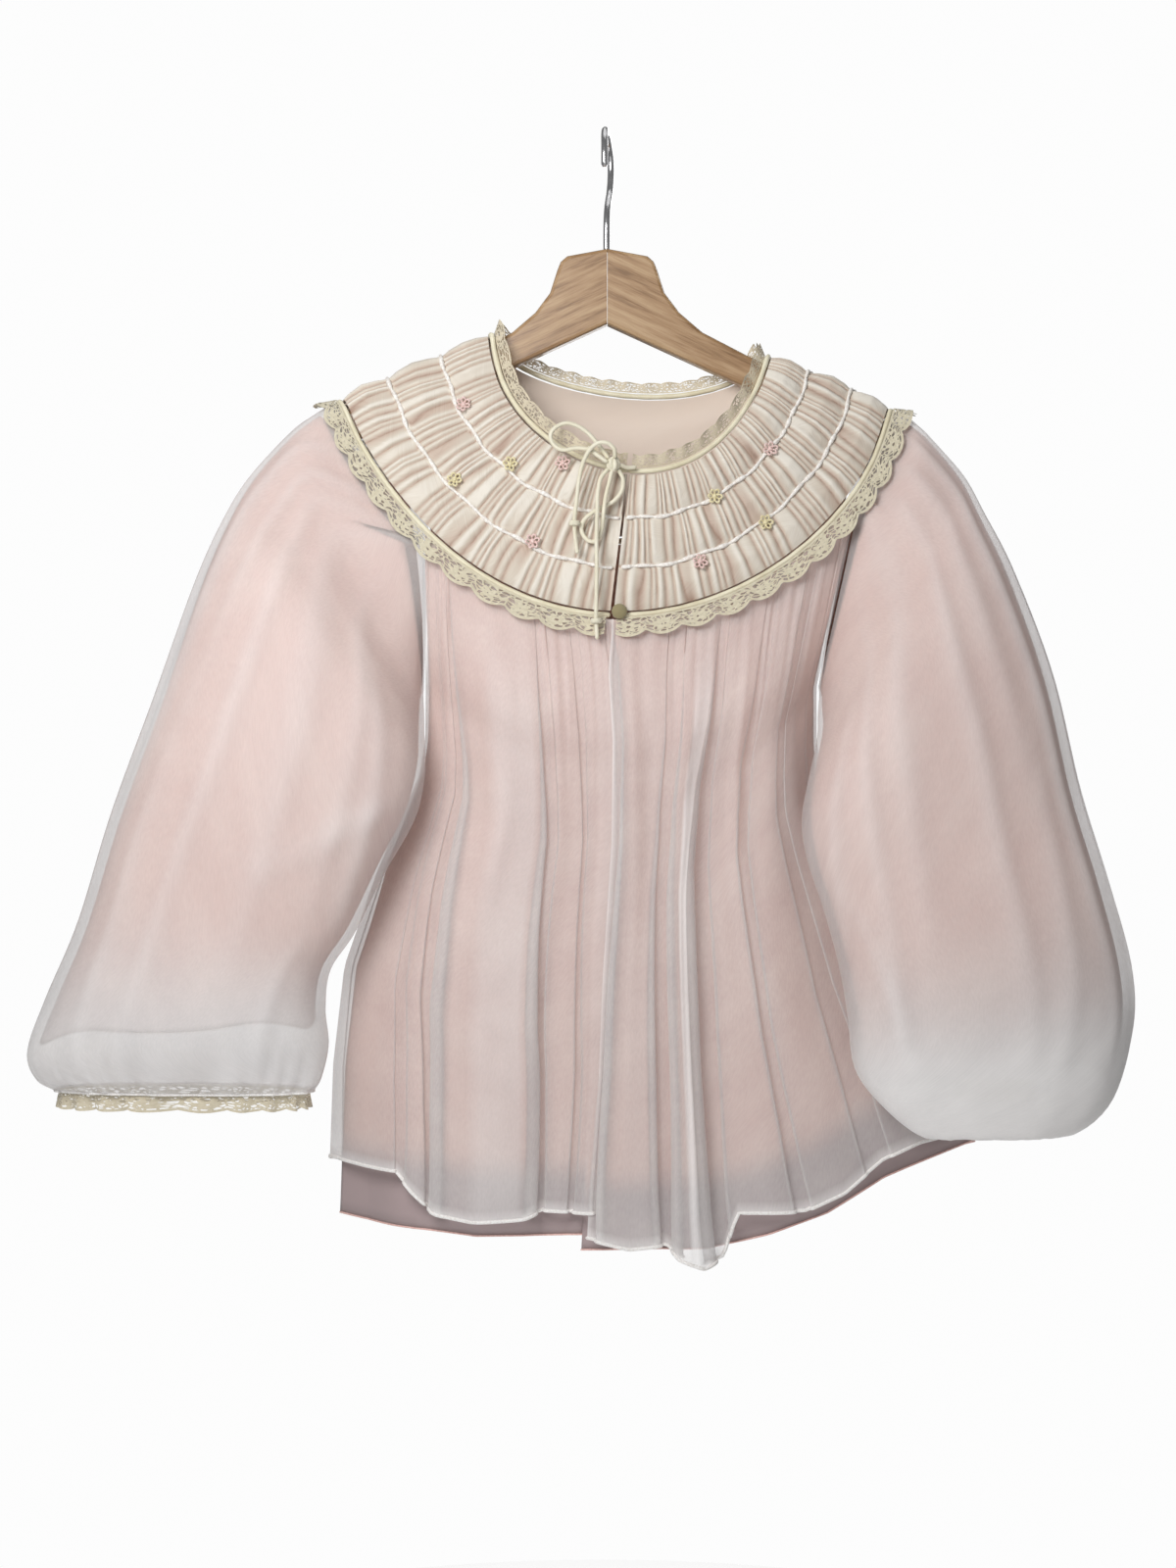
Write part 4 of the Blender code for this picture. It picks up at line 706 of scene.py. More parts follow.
def tube(name, points, radius, sides=12):
    """A round cord along points, with closed rounded ends; its UV runs round it and along its length."""
    points = np.asarray(points, float)
    count = len(points)
    radii = np.full(count, radius) if np.isscalar(radius) else np.asarray(radius, float)
    tangents = np.gradient(points, axis=0)
    tangents /= np.linalg.norm(tangents, axis=1, keepdims=True)
    side = np.cross(tangents[0], (0.3, 0.5, 0.8))
    rings = []
    centres = []
    for number in range(count):
        side = side - np.dot(side, tangents[number]) * tangents[number]
        side = side / np.linalg.norm(side)
        other = np.cross(tangents[number], side)
        caps = [(0, 1)]
        if number == 0:
            caps = [(-0.8, 0.55), (0, 1)]
        if number == count - 1:
            caps = [(0, 1), (0.8, 0.55)]
        for shift, share in caps:
            centre = points[number] + tangents[number] * radii[number] * shift
            centres.append(centre)
            rings.append([centre + radii[number] * share * (math.cos(turn) * side + math.sin(turn) * other)
                          for turn in np.linspace(0, 2 * math.pi, sides, endpoint=False)])
    along = np.concatenate([[0.0], np.cumsum(np.linalg.norm(np.diff(centres, axis=0), axis=1))]) * MM
    vertices = [tuple(vertex * MM) for ring in rings for vertex in ring]
    faces = []
    corners = []
    for r in range(len(rings) - 1):
        for c in range(sides):
            places = [(r, c), (r, c + 1), (r + 1, c + 1), (r + 1, c)]
            faces.append([i * sides + j % sides for i, j in places])
            corners += [(j / sides, along[i]) for i, j in places]
    last = (len(rings) - 1) * sides
    faces.append(list(range(sides))[::-1])
    faces.append([last + c for c in range(sides)])
    corners += [(c / sides, along[0]) for c in range(sides)][::-1]
    corners += [(c / sides, along[-1]) for c in range(sides)]
    return new_piece(name, vertices, faces, corners)


def cord_piece(name, points, radius, sides, material, nodes=()):
    return finish_piece(tube(name, points, radius, sides), material, nodes)


def settle(piece):
    """Put a modelled piece's place into its mesh."""
    choose(piece)
    bpy.ops.object.transform_apply(location=True, rotation=True, scale=True)
    bpy.ops.object.shade_smooth()


# The camera, then the bow's cords
def make_camera():
    data = bpy.data.cameras.new("camera")
    data.lens = CAMERA_LENS
    data.sensor_width = CAMERA_SENSOR
    data.clip_start = 0.05
    data.clip_end = 30.0
    camera = bpy.data.objects.new("camera", data)
    camera.location = [value * MM for value in CAMERA_AT]
    camera.rotation_euler = (math.pi / 2, 0, 0)
    bpy.context.scene.collection.objects.link(camera)
    bpy.context.scene.camera = camera


def make_knot():
    """The knot: the cord wound twice over itself, on a small core."""
    bpy.ops.mesh.primitive_uv_sphere_add(segments=20, ring_count=12, radius=KNOT_RADIUS * 0.72 * MM,
                                         location=[value * MM for value in KNOT])
    wraps = [bpy.context.object]
    for tilt, shift, reach in ((0.35, -0.9, 1), (-0.55, 1, 1.02), (1.75, -0.2, 0.98)):
        bpy.ops.mesh.primitive_torus_add(
            major_segments=40, minor_segments=12, major_radius=(KNOT_RADIUS - CORD_RADIUS) * reach * MM,
            minor_radius=CORD_RADIUS * MM, rotation=(0.25 * shift, math.pi / 2, tilt),
            location=[(value + move) * MM for value, move in zip(KNOT, (shift * 0.6, -0.3, shift * 0.5))])
        wraps.append(bpy.context.object)
    knot = joined(wraps, "knot")
    settle(knot)
    finish_piece(knot, CORD, ["bow_knot"])


def make_beads():
    """A small ring bead round each tail."""
    for bead in BEADS:
        place = (bead.x * MM, bead.y * MM, bead.z * MM)
        bpy.ops.mesh.primitive_torus_add(major_segments=32, minor_segments=14, major_radius=BEAD_RING * MM,
                                         minor_radius=BEAD_TUBE * MM, location=place)
        ring = bpy.context.object
        bpy.ops.object.mode_set(mode="EDIT")
        bpy.ops.transform.resize(value=(1, 1, 1.35), center_override=place)
        bpy.ops.object.mode_set(mode="OBJECT")
        ring.name = bead.name + "_ring"
        settle(ring)
        finish_piece(ring, CORD, [bead.name])


def make_cords():
    """The two leads from the piping to the knot, then the loops and tails that hang from it."""
    for name, route in BOW_ROUTES.items():
        points = smooth_route(route, 1.1)
        cord = cord_piece(name + "_cord", points, CORD_RADIUS, 14, CORD, [name])
        if name.startswith("bow_lead"):
            continue
        path = points * MM
        route_length(path)


# The yoke
def arm_top(x):
    return np.interp(np.abs(x - HANGER_X), [p.x for p in HANGER_TOP], [p.z for p in HANGER_TOP])


def yoke_base(angle, u):
    """The plain surface under the yoke's gathers; angle 0 is the right shoulder and 90 the front."""
    ring = Ring(*(mix(a, b, u) for a, b in zip(NECK_RING, SEAM_RING)))
    c = np.cos(np.radians(angle))
    s = np.sin(np.radians(angle))
    front = s > 0
    turn = np.abs(s)
    reach = np.where(front, ring.front_y, ring.back_y)
    x = ring.centre_x + ring.half_width * c
    y = -np.sign(s) * reach * turn ** ROUNDNESS
    shoulders = mix(arm_top(ring.centre_x - ring.half_width), arm_top(ring.centre_x + ring.half_width), (1 + c) / 2)
    flat = (FLAT_OVER_ARM / reach) ** (1 / ROUNDNESS)
    level = mix(shoulders, arm_top(x), 1.0 - ease((turn - flat) / 0.25))
    fall = np.maximum(0, (turn - flat) / (1.0 - flat)) ** (ring.power + ring.power_tilt * c)
    drop = np.where(front, ring.front_drop, ring.back_drop) * fall
    return np.stack([x, y, level + ring.clearance - drop], axis=-1)


def unit(vectors):
    return vectors / np.linalg.norm(vectors, axis=-1, keepdims=True)


def yoke_frame(angle, u):
    """Outward normal and direction towards the neck, at a place on the yoke."""
    around = yoke_base(angle + 1, u) - yoke_base(angle - 1, u)
    down = yoke_base(angle, u + 0.02) - yoke_base(angle, u - 0.02)
    return unit(np.cross(around, down)), -unit(down)


def yoke_point(angle, u, rise):
    return yoke_base(angle, u) + np.asarray(rise)[..., None] * yoke_frame(angle, u)[0]


def gather_at(place, u):
    """Height of a gather from 0 to 1, and its number, where place counts gathers along the yoke."""
    band = ease((u - THREAD_ROWS[0] + 0.03) / 0.06) + ease((u - THREAD_ROWS[1] + 0.03) / 0.06)
    shifts = [0.50 * math.sin(1.1 * place + 2.3 * number) + 0.20 * math.sin(2.7 * place + 1.1 * number)
              for number in range(3)]
    moved = place + np.interp(band, (0, 1, 2), shifts) + 0.10 * math.sin(0.9 * place + 9.0 * u)
    number = math.floor(moved)
    return math.sin(math.pi * (moved - number)) ** 0.7, number + 5 * round(band)


def make_yoke_piece(name, start, end, gathers):
    """One shirred piece of the yoke."""
    rows = np.linspace(YOKE_ROWS[0].u, YOKE_ROWS[-1].u, YOKE_STEPS)
    grid = []
    marks = []
    for u in rows:
        puff, gather = read(YOKE_ROWS, u)
        places = np.linspace(0, gathers, 8 * gathers + 1)
        rises = []
        for place in places:
            crest, number = gather_at(place, u)
            rises.append(0.35 + puff + crest * gather * (0.75 + 0.65 * unevenness(number)))
            # the crest mark sets the shirring's painted highlight on ridges and painted shade in the depths
            marks.append(crest * (0.75 + 0.25 * unevenness(number)))
        grid.append(yoke_point(mix(start, end, places / gathers), u, rises))
    piece = cloth_mesh(name + "_shirring", grid, flip=True, fold=marks)
    return finish_piece(piece, SHIRRING, [name])


def open_round(count, clear=3):
    """Angles round the yoke from one side of the slit to the other."""
    return np.linspace(SLIT - 360.0 + clear * SLIT_HALF, SLIT - clear * SLIT_HALF, count)


def make_yoke():
    """The shirred pieces, the two rows of gathering thread over them and the plain cloth inside."""
    for name, start, end, gathers in (
            ("yoke_front_right", SHOULDER_HALF, SLIT - SLIT_HALF, GATHERS_FRONT),
            ("yoke_front_left", SLIT + SLIT_HALF, 180.0 - SHOULDER_HALF, GATHERS_FRONT),
            ("yoke_back", 180.0 + SHOULDER_HALF, 360.0 - SHOULDER_HALF, GATHERS_BACK)):
        piece = make_yoke_piece(name, start, end, gathers)
    for name, u in zip(("gathering_thread_upper", "gathering_thread_lower"), THREAD_ROWS):
        angles = open_round(THREAD_POINTS, 4)
        places = (angles % 360) / 360.0 * GATHERS_BACK
        lumps = np.abs(np.sin(math.pi * places + 0.8 * np.sin(0.9 * places)))
        points = yoke_point(angles, u + 0.008 * np.sin(1.9 * places), 1.5 + 0.9 * lumps)
        radii = [THREAD_RADIUS * (0.8 + 0.75 * lump * (0.5 + 0.5 * unevenness(math.floor(place))))
                 for place, lump in zip(places, lumps)]
        cord_piece(name, points, radii, 8, COTTON)
    inside = [yoke_point(open_round(YOKE_LINING_COLUMNS, 2), u, -1.2) for u in YOKE_LINING_ROWS]
    inside = thicken(cloth_mesh("yoke_lining_cloth", inside, flip=True), 0.8)
    finish_piece(inside, NECK_LINING, ["yoke_lining"])


def make_pipings():
    for name, u, count in (("neck_piping", 0, 260), ("yoke_piping", 1, 420)):
        number = np.arange(count)
        points = yoke_point(open_round(count, 2), u, 0.9 + 0.15 * np.sin(1.1 * number))
        radii = PIPING_RADIUS * (1.0 + 0.05 * np.sin(0.9 * number))
        cord_piece(name + "_satin", points, radii, 14, PIPING, [name])


def scallop(place):
    """1 in the middle of a scallop and 0 where two meet."""
    return np.abs(np.sin(math.pi * place)) ** 0.7


def lace_uv(places, shares):
    """UV that counts scallops across the lace and runs from 0 at its root to 1 at its edge."""
    return np.stack(np.meshgrid(places, shares), axis=2)


def make_neck_lace():
    """A narrow wavy lace that stands up inside the neck piping."""
    angles = open_round(NECK_LACE_WAVES * 12 + 1)
    places = (angles - SLIT + 360) / 360.0 * NECK_LACE_WAVES
    outward, upward = yoke_frame(angles, 0)
    depth = NECK_LACE_DEPTH * (0.82 + 0.18 * scallop(places + 0.5)) * (0.96 + 0.04 * np.sin(2.7 * places))
    wave = NECK_LACE_WAVE * np.sin(2 * math.pi * places + 0.7 * np.sin(places))
    root = yoke_base(angles, 0) + upward * (PIPING_RADIUS + 0.5) + outward * 0.9
    shares = np.linspace(0, 1, 9)
    grid = [root + (0.80 * upward + 0.60 * outward) * (depth * share)[:, None]
            + outward * (wave * share ** 1.2)[:, None] for share in shares]
    piece = cloth_mesh("neck_lace_net", grid, uv=lace_uv(places, shares))
    finish_piece(piece, NECK_NET, ["neck_lace"])


def make_yoke_lace():
    """A scalloped lace that lies on the body below the yoke piping."""
    angles = open_round(YOKE_LACE_SCALLOPS * 12 + 1)
    places = (angles - SLIT + 360) / 360.0 * YOKE_LACE_SCALLOPS
    outward, upward = yoke_frame(angles, 1)
    depth = YOKE_LACE_DEPTH * (0.66 + 0.34 * scallop(places))
    shares = np.linspace(0, 1, 11)
    grid = []
    for share in shares:
        lift = mix(3.2, 6.8 + 0.5 * np.sin(2 * math.pi * places), share)
        drop = mix(PIPING_RADIUS * 0.7, PIPING_RADIUS + depth, share)
        grid.append(yoke_base(angles, 1) - upward * drop[:, None] + outward * lift[:, None])
    piece = cloth_mesh("yoke_lace_net", grid, flip=True, uv=lace_uv(places, shares))
    finish_piece(piece, YOKE_NET, ["yoke_lace"])


# The body
def raglan(right, front):
    """Where the raglan seam leaves the yoke seam, and the underarm where it ends."""
    angle = RAGLAN_RIGHT if right else RAGLAN_LEFT
    top = yoke_point(angle if front else -angle, SEAM_START, SEAM_RISE)
    under = (SIDE_RIGHT if right else SIDE_LEFT)[0]
    return top, np.array((under.x, under.y, under.z))


RAGLANS = {(right, front): raglan(right, front) for right in (False, True) for front in (False, True)}


def raglan_point(right, front, down):
    top, under = RAGLANS[right, front]
    point = mix(top, under, down)
    point[1] = mix(top[1], under[1], down ** RAGLAN_CLOSING)
    return point


def side_line(right, front, z):
    """The edge of the front or back at a height: the raglan seam, then the side seam."""
    top, under = RAGLANS[right, front]
    if z > under[2]:
        return raglan_point(right, front, min(1, max(0, (top[2] - z) / (top[2] - under[2]))))[:2]
    return np.array(read(SIDE_RIGHT if right else SIDE_LEFT, z))


Panel = namedtuple("Panel", "name front part folds hem lining_hem shut lift gathers")
PANELS = [
    Panel("front_left", True, "left", FOLDS_FRONT_LEFT, HEM_FRONT_LEFT, LINING_HEM_FRONT_LEFT, 3, 0, 26),
    Panel("front_right", True, "right", FOLDS_FRONT_RIGHT, HEM_FRONT_RIGHT, LINING_HEM_FRONT_RIGHT, 4, 5, 34),
    Panel("back", False, "whole", FOLDS_BACK, HEM_BACK, LINING_HEM_BACK, 0, 0, 56),
]


class BodyRow:
    """One level of a body panel: its edges, and the surface between them."""

    def __init__(self, panel, hem, v):
        self.panel, self.hem, self.v = panel, hem, v
        corners = (HEM_CORNER_Z if panel.part == "right" else hem[0].z,
                   HEM_CORNER_Z if panel.part == "left" else hem[-1].z)
        opening_hem = hem[-1].z if panel.part == "left" else hem[0].z
        tops = [RAGLANS[right, panel.front][0][2] for right in (False, True)]
        levels = [mix(top, corner, v) for top, corner in zip(tops, corners)]
        self.top = self.edges(panel, tops, OPENING[0].z)
        self.here = self.edges(panel, levels, mix(OPENING[0].z, opening_hem, v))
        self.left = side_line(False, panel.front, levels[0])
        self.right = side_line(True, panel.front, levels[1])
        self.roll_right = max(24, self.right[0] - FLARE_FROM) if panel.front else SIDE_ROLL
        self.width = self.here[1] - self.here[0]

    @staticmethod
    def edges(panel, levels, opening_z):
        left = side_line(False, panel.front, levels[0])[0]
        right = side_line(True, panel.front, levels[1])[0]
        opening = read([(p.z, p.x) for p in OPENING], opening_z)
        return {"whole": (left, right), "left": (left, opening), "right": (opening, right)}[panel.part]

    def points(self, at, rise, inset=0.0):
        """Places across the level, from shares of the panel's width and how far each stands out."""
        panel, v = self.panel, self.v
        sign = -1.0 if panel.front else 1.0
        at = np.asarray(at)
        top_x = mix(*self.top, at)
        x = mix(*self.here, at)
        cosine = np.clip((top_x - SEAM_RING.centre_x) / (SEAM_RING.half_width * 1.014), -1, 1)
        angle = np.degrees(np.arccos(cosine)) * (1.0 if panel.front else -1)
        seam = yoke_point(angle, SEAM_START, np.full(len(at), SEAM_RISE))
        z = mix(seam[:, 2], read(self.hem, at), v)
        across = (x - self.left[0]) / (self.right[0] - self.left[0])
        left_top = RAGLANS[False, panel.front][0]
        right_top = RAGLANS[True, panel.front][0]
        top_side_y = mix(left_top[1], right_top[1], (top_x - left_top[0]) / (right_top[0] - left_top[0]))
        lens = (np.sin(math.pi / 2 * np.clip((x - self.left[0]) / SIDE_ROLL, 0, 1))
                * np.sin(math.pi / 2 * np.clip((self.right[0] - x) / self.roll_right, 0, 1)))
        depth = read(DEPTH_FRONT if panel.front else DEPTH_BACK, z)
        y = mix(self.left[1], self.right[1], across)
        y = y + mix(seam[:, 1] - top_side_y, sign * depth * lens, ease(v / 0.22))
        fade = mix(1, lens ** 0.5, ease((v - 0.08) / 0.12))
        y = y + sign * (np.asarray(rise) * fade + SIDE_SEAM_GAP * ease((v - 0.1) / 0.15) * (1.0 - lens))
        if inset:
            tucked = LINING_AT_SEAM * yoke_frame(angle, SEAM_START)[0]
            down = ease(v / 0.2)
            x = x - tucked[:, 0] * (1.0 - down)
            y = y + mix(-tucked[:, 1], -sign * inset * np.minimum(1, 2.0 * lens), down)
            z = z - tucked[:, 2] * (1.0 - down)
        return np.stack([x, y, z], axis=-1)


def fold_columns(folds):
    """Columns across a panel: the valleys between the folds, the turns at a fold's two sides, and its top."""
    columns = []
    for number in range(len(folds) + 1):
        shares = list(np.linspace(0, 1, VALLEY_POINTS + 2))
        shares = shares[0 if number == 0 else 1:None if number == len(folds) else -1]
        columns += [("valley", number, share) for share in shares]
        if number < len(folds):
            columns += [("left", number, turn) for turn in TURN_STEPS]
            columns += [("top", number, share) for share in np.linspace(0, 1, TOP_POINTS + 2)[1:-1]]
            columns += [("right", number, turn) for turn in reversed(TURN_STEPS)]
    return columns


def fold_state(panel, number, v, width):
    """A fold's edges as shares of the panel, its rise, and how far the cloth tucks in under it."""
    fold = panel.folds[number]
    down = ease(v)
    start = mix(fold.top_from, fold.hem_from, down) + SWAY * math.sin(7.0 * v + 2.1 * number)
    end = mix(fold.top_to, fold.hem_to, down) + SWAY * math.sin(5.0 * v + 1.3 * number + 1)
    rise = mix(fold.top_rise, fold.hem_rise, down) * ease(v / 0.16)
    under = fold.under * (1.0 if fold.hem_rise > HIGH_FOLD else 0.35)
    tuck = min(mix(0.2, under, ease(v / 0.75)) / width, 0.30 * (end - start))
    return start, end, rise, tuck


def body_creases(panel, at, v):
    """Soft creases that start in the gathers, wander apart and die out at different heights."""
    height = 0.0
    count = panel.gathers // 5
    for number in range(count):
        end = 0.35 + 0.60 * unevenness(number + 3)
        share = v / end
        if share < 1.0:
            middle = (number + 0.5 + 0.30 * math.sin(2.1 * number)) / count + 0.020 * math.sin(1.7 * number + 2.6 * v)
            half = mix(0.020, 0.060, share)
            height += (2.4 + 2.6 * unevenness(number)) * math.sin(math.pi * share) ** 0.8 * math.exp(
                -((at - middle) / half) ** 2)
    return height


def panel_grid(panel, hem, columns, rows):
    """A body panel's points, and a mark at each of them: above zero how dense its cloth looks, below zero how much
    painted shade darkens its valleys.
    """
    grid = []
    marks = []
    for v in rows:
        row = BodyRow(panel, hem, v)
        states = [fold_state(panel, number, v, row.width) for number in range(len(panel.folds))]
        places = []
        rises = []
        for kind, number, value in columns:
            mark = 0.0
            if kind == "valley":
                start = states[number - 1][1] - states[number - 1][3] if number else 0.0
                end = states[number][0] + states[number][3] if number < len(states) else 1.0
                at = mix(start, end, value)
                rise = 0.0
                # painted shade: a mark below zero darkens the valley towards the chiffon's shade colour
                mark = -PAINTED_VALLEY_SHADE.get((panel.name, number), 0.25) * math.sin(math.pi * value) ** 0.5 * ease(v / 0.5)
                edge = min(at, 1.0 - at)
                if panel.part != "whole" and (at > 0.5) == (panel.part == "left"):
                    mark = max(mark, OPENING_DENSE * (1.0 - edge * row.width / HEM_BAND))
            else:
                start, end, height, tuck = states[number]
                if kind == "top":
                    # doubled cloth looks denser; for the right front's fold 1 this is also a painted highlight
                    mark = DOUBLED_AND_HIGHLIT.get((panel.name, number), 0) * ease((value - 0.30) / 0.12) * ease(v / 0.3)
                    at = mix(start + tuck, end - tuck, value)
                    crown = 0.10 * math.sin(math.pi * value) + 0.07 * ripple(5.0 * value, 9.0 * v, number)
                    rise = height * (1.0 + crown)
                else:
                    shift = tuck * (1.0 - math.cos(value))
                    at = start + shift if kind == "left" else end - shift
                    rise = height * (1.0 + math.sin(value)) / 2.0
                    mark = HIGH_EDGE_DENSE if height > HIGH_FOLD * ease(v) else LOW_EDGE_DENSE
                    mark *= math.cos(value) ** 10 * ease(v / 0.3) * (0.6 + 0.4 * ripple(2.0 * number, 8.0 * v, 3))
            rise += CLOTH_RIPPLE * (1.0 + ripple(30.0 * at, 7.0 * v, panel.gathers)) * ease(v / 0.2)
            rise += body_creases(panel, at, v)
            gather = max(0, 1.0 - v / GATHERED_PART)
            if gather and 0.002 < at < 0.998:
                place = at * panel.gathers + 0.35 * math.sin(2.3 * at * panel.gathers)
                ridge = abs(math.sin(math.pi * place)) ** 0.8
                rise += SEAM_GATHER * gather ** 1.2 * ridge * (0.3 + 1.2 * unevenness(math.floor(place)))
            mark = max(mark, HEM_DENSE * max(0, 1.0 - (1.0 - v) * BODY_LENGTH / HEM_BAND))
            places.append(at)
            rises.append(rise)
            marks.append(mark)
        grid.append(row.points(places, rises))
    grid = np.array(grid)
    if panel.shut:
        grid = shift_opening(grid, rows, panel.part == "right", panel.shut, panel.lift)
    return grid, marks


def shift_opening(grid, rows, right, shut, lift):
    """Move a front's edge at the opening over the other front, and lift it forward."""
    for r, v in enumerate(rows):
        move = mix(0.3, shut, ease(v / 0.10))
        share = (grid[r, :, 0] - grid[r, 0, 0]) / (grid[r, -1, 0] - grid[r, 0, 0])
        near = np.clip(1.0 - share if right else share, 0, 1)
        grid[r, :, 0] += move * near ** 3 * (-1 if right else 1)
        grid[r, :, 1] -= lift * ease((v + 0.03) / 0.12) * near ** 6
    return grid


def thinned(line, least=0.45):
    """The points of a line, leaving out those that crowd together."""
    kept = [line[0]]
    for point in line[1:]:
        if np.linalg.norm(point - kept[-1]) >= least:
            kept.append(point)
    return np.array(kept)


def make_body():
    rows = np.linspace(0, 1, BODY_ROWS) ** 1.12
    for panel in PANELS:
        grid, marks = panel_grid(panel, panel.hem, fold_columns(panel.folds), rows)
        piece = cloth_mesh(panel.name + "_chiffon", grid, flip=not panel.front, fold=marks)
        finish_piece(piece, CHIFFON, [panel.name])
        hem = cord_piece(panel.name + "_hem", thinned(grid[-1]), HEM_RADIUS, 8, HEM_THREAD)


def make_body_lining():
    rows = np.linspace(0, 1, LINING_ROWS)
    at = np.linspace(0, 1, LINING_COLUMNS)
    for panel in PANELS:
        grid = []
        for v in rows:
            row = BodyRow(panel, panel.lining_hem, v)
            rise = np.array([0.5 * ripple(16.0 * place, 5.0 * v, 5) * ease(v / 0.2) for place in at])
            for number in range(len(panel.folds)):
                start, end, height, _ = fold_state(panel, number, v, row.width)
                middle, half = (start + end) / 2, (end - start) / 2
                rise += 0.15 * height * np.exp(-((at - middle) / half) ** 4)
            grid.append(row.points(at, rise, inset=LINING_INSET))
        grid = np.array(grid)
        share = (grid[:, :, 0] - grid[:, :1, 0]) / (grid[:, -1:, 0] - grid[:, :1, 0])
        edge_in = np.array([[mix(2.0 * ease(v / 0.2), 7.5, ease((v - 0.35) / 0.25))] for v in rows])
        if panel.part != "right":
            grid[:, :, 0] += edge_in * (1 - share)
        if panel.part != "left":
            grid[:, :, 0] -= edge_in * share
        if panel.part == "right":
            grid[:, :, 0] -= LINING_LAP * (1 - share) ** 4
            grid[:, :, 1] -= 1.6 * (1 - share) ** 12
        name = panel.name + "_blush_lining"
        edge = tube(panel.name + "_lining_edge", thinned(grid[-1]), EDGING_RADIUS, 8)
        # Painted shade: the lowest band of the lining is marked to take the grey mauve of shade below the chiffon
        band = [[ease((v - 0.87) / 0.05)] * grid.shape[1] for v in rows]
        piece = thicken(cloth_mesh(name, grid, flip=not panel.front, fold=band), LINING_WALL)
        node = "lining_" + panel.name
        finish_piece(piece, LINING, [node])
        finish_piece(edge, EDGING)


# The sleeves
def ring_axis(row):
    outer = np.array((row.outer_x, row.outer_y, row.outer_z))
    inner = np.array((row.inner_x, row.inner_y, row.inner_z))
    return (outer + inner) / 2, (outer - inner) / 2


def boxy(value):
    return np.sign(value) * np.abs(value) ** ROUNDNESS


def sleeve_rings(rows, right, turns):
    """Rings of a sleeve from the armhole to the cuff, and the outward direction at each of their points."""
    angle = RAGLAN_RIGHT if right else RAGLAN_LEFT
    rings = [[], []]
    for turn in turns:
        share = turn / RAGLAN_TURN
        if abs(share) <= 1.0:
            place = share * angle if right else 180.0 - share * (180.0 - angle)
            rings[0].append(yoke_point(place, SEAM_START, 0.4))
            rings[1].append(yoke_point(place, 1.14, 0.6))
        else:
            down = (abs(turn) - RAGLAN_TURN) / (180.0 - RAGLAN_TURN)
            clear = np.array((ARMHOLE_GAP if right else -ARMHOLE_GAP, 0, 0))
            rings[0].append(raglan_point(right, share > 0, down) + clear)
            rings[1].append(None)
    outwards = []
    for row in rows:
        middle, half = ring_axis(row)
        rings.append([middle + half * boxy(math.cos(math.radians(turn)))
                      - np.array((0, row.half_depth * boxy(math.sin(math.radians(turn))), 0)) for turn in turns])
    for number, point in enumerate(rings[1]):
        if point is None:
            rings[1][number] = mix(rings[0][number], rings[2][number], 0.22)
    for row in (rows[0], rows[0], *rows):
        half = ring_axis(row)[1]
        width = np.linalg.norm(half)
        swing = math.pi * row.turned
        line = []
        for turn in np.radians(turns):
            away = half / width * math.cos(turn) / width - np.array((0, math.sin(turn) / row.half_depth, 0))
            away = away / np.linalg.norm(away)
            line.append(away * math.cos(swing) - np.array((0, 0, math.sin(swing))))
        outwards.append(line)
    return np.array(rings), np.array(outwards)


def crease_height(creases, turn, down):
    """How far the creases stand out at a turn round the sleeve and a share of its length."""
    height = 0.0
    for crease in creases:
        share = (down - crease.down_from) / (crease.down_to - crease.down_from)
        if 0.0 < share < 1.0:
            middle = mix(crease.turn_from, crease.turn_to, share)
            off = (turn - middle + 180) % 360.0 - 180.0
            height += crease.rise * math.sin(math.pi * share) ** 0.6 * math.exp(-(off / crease.half) ** 2)
    return height


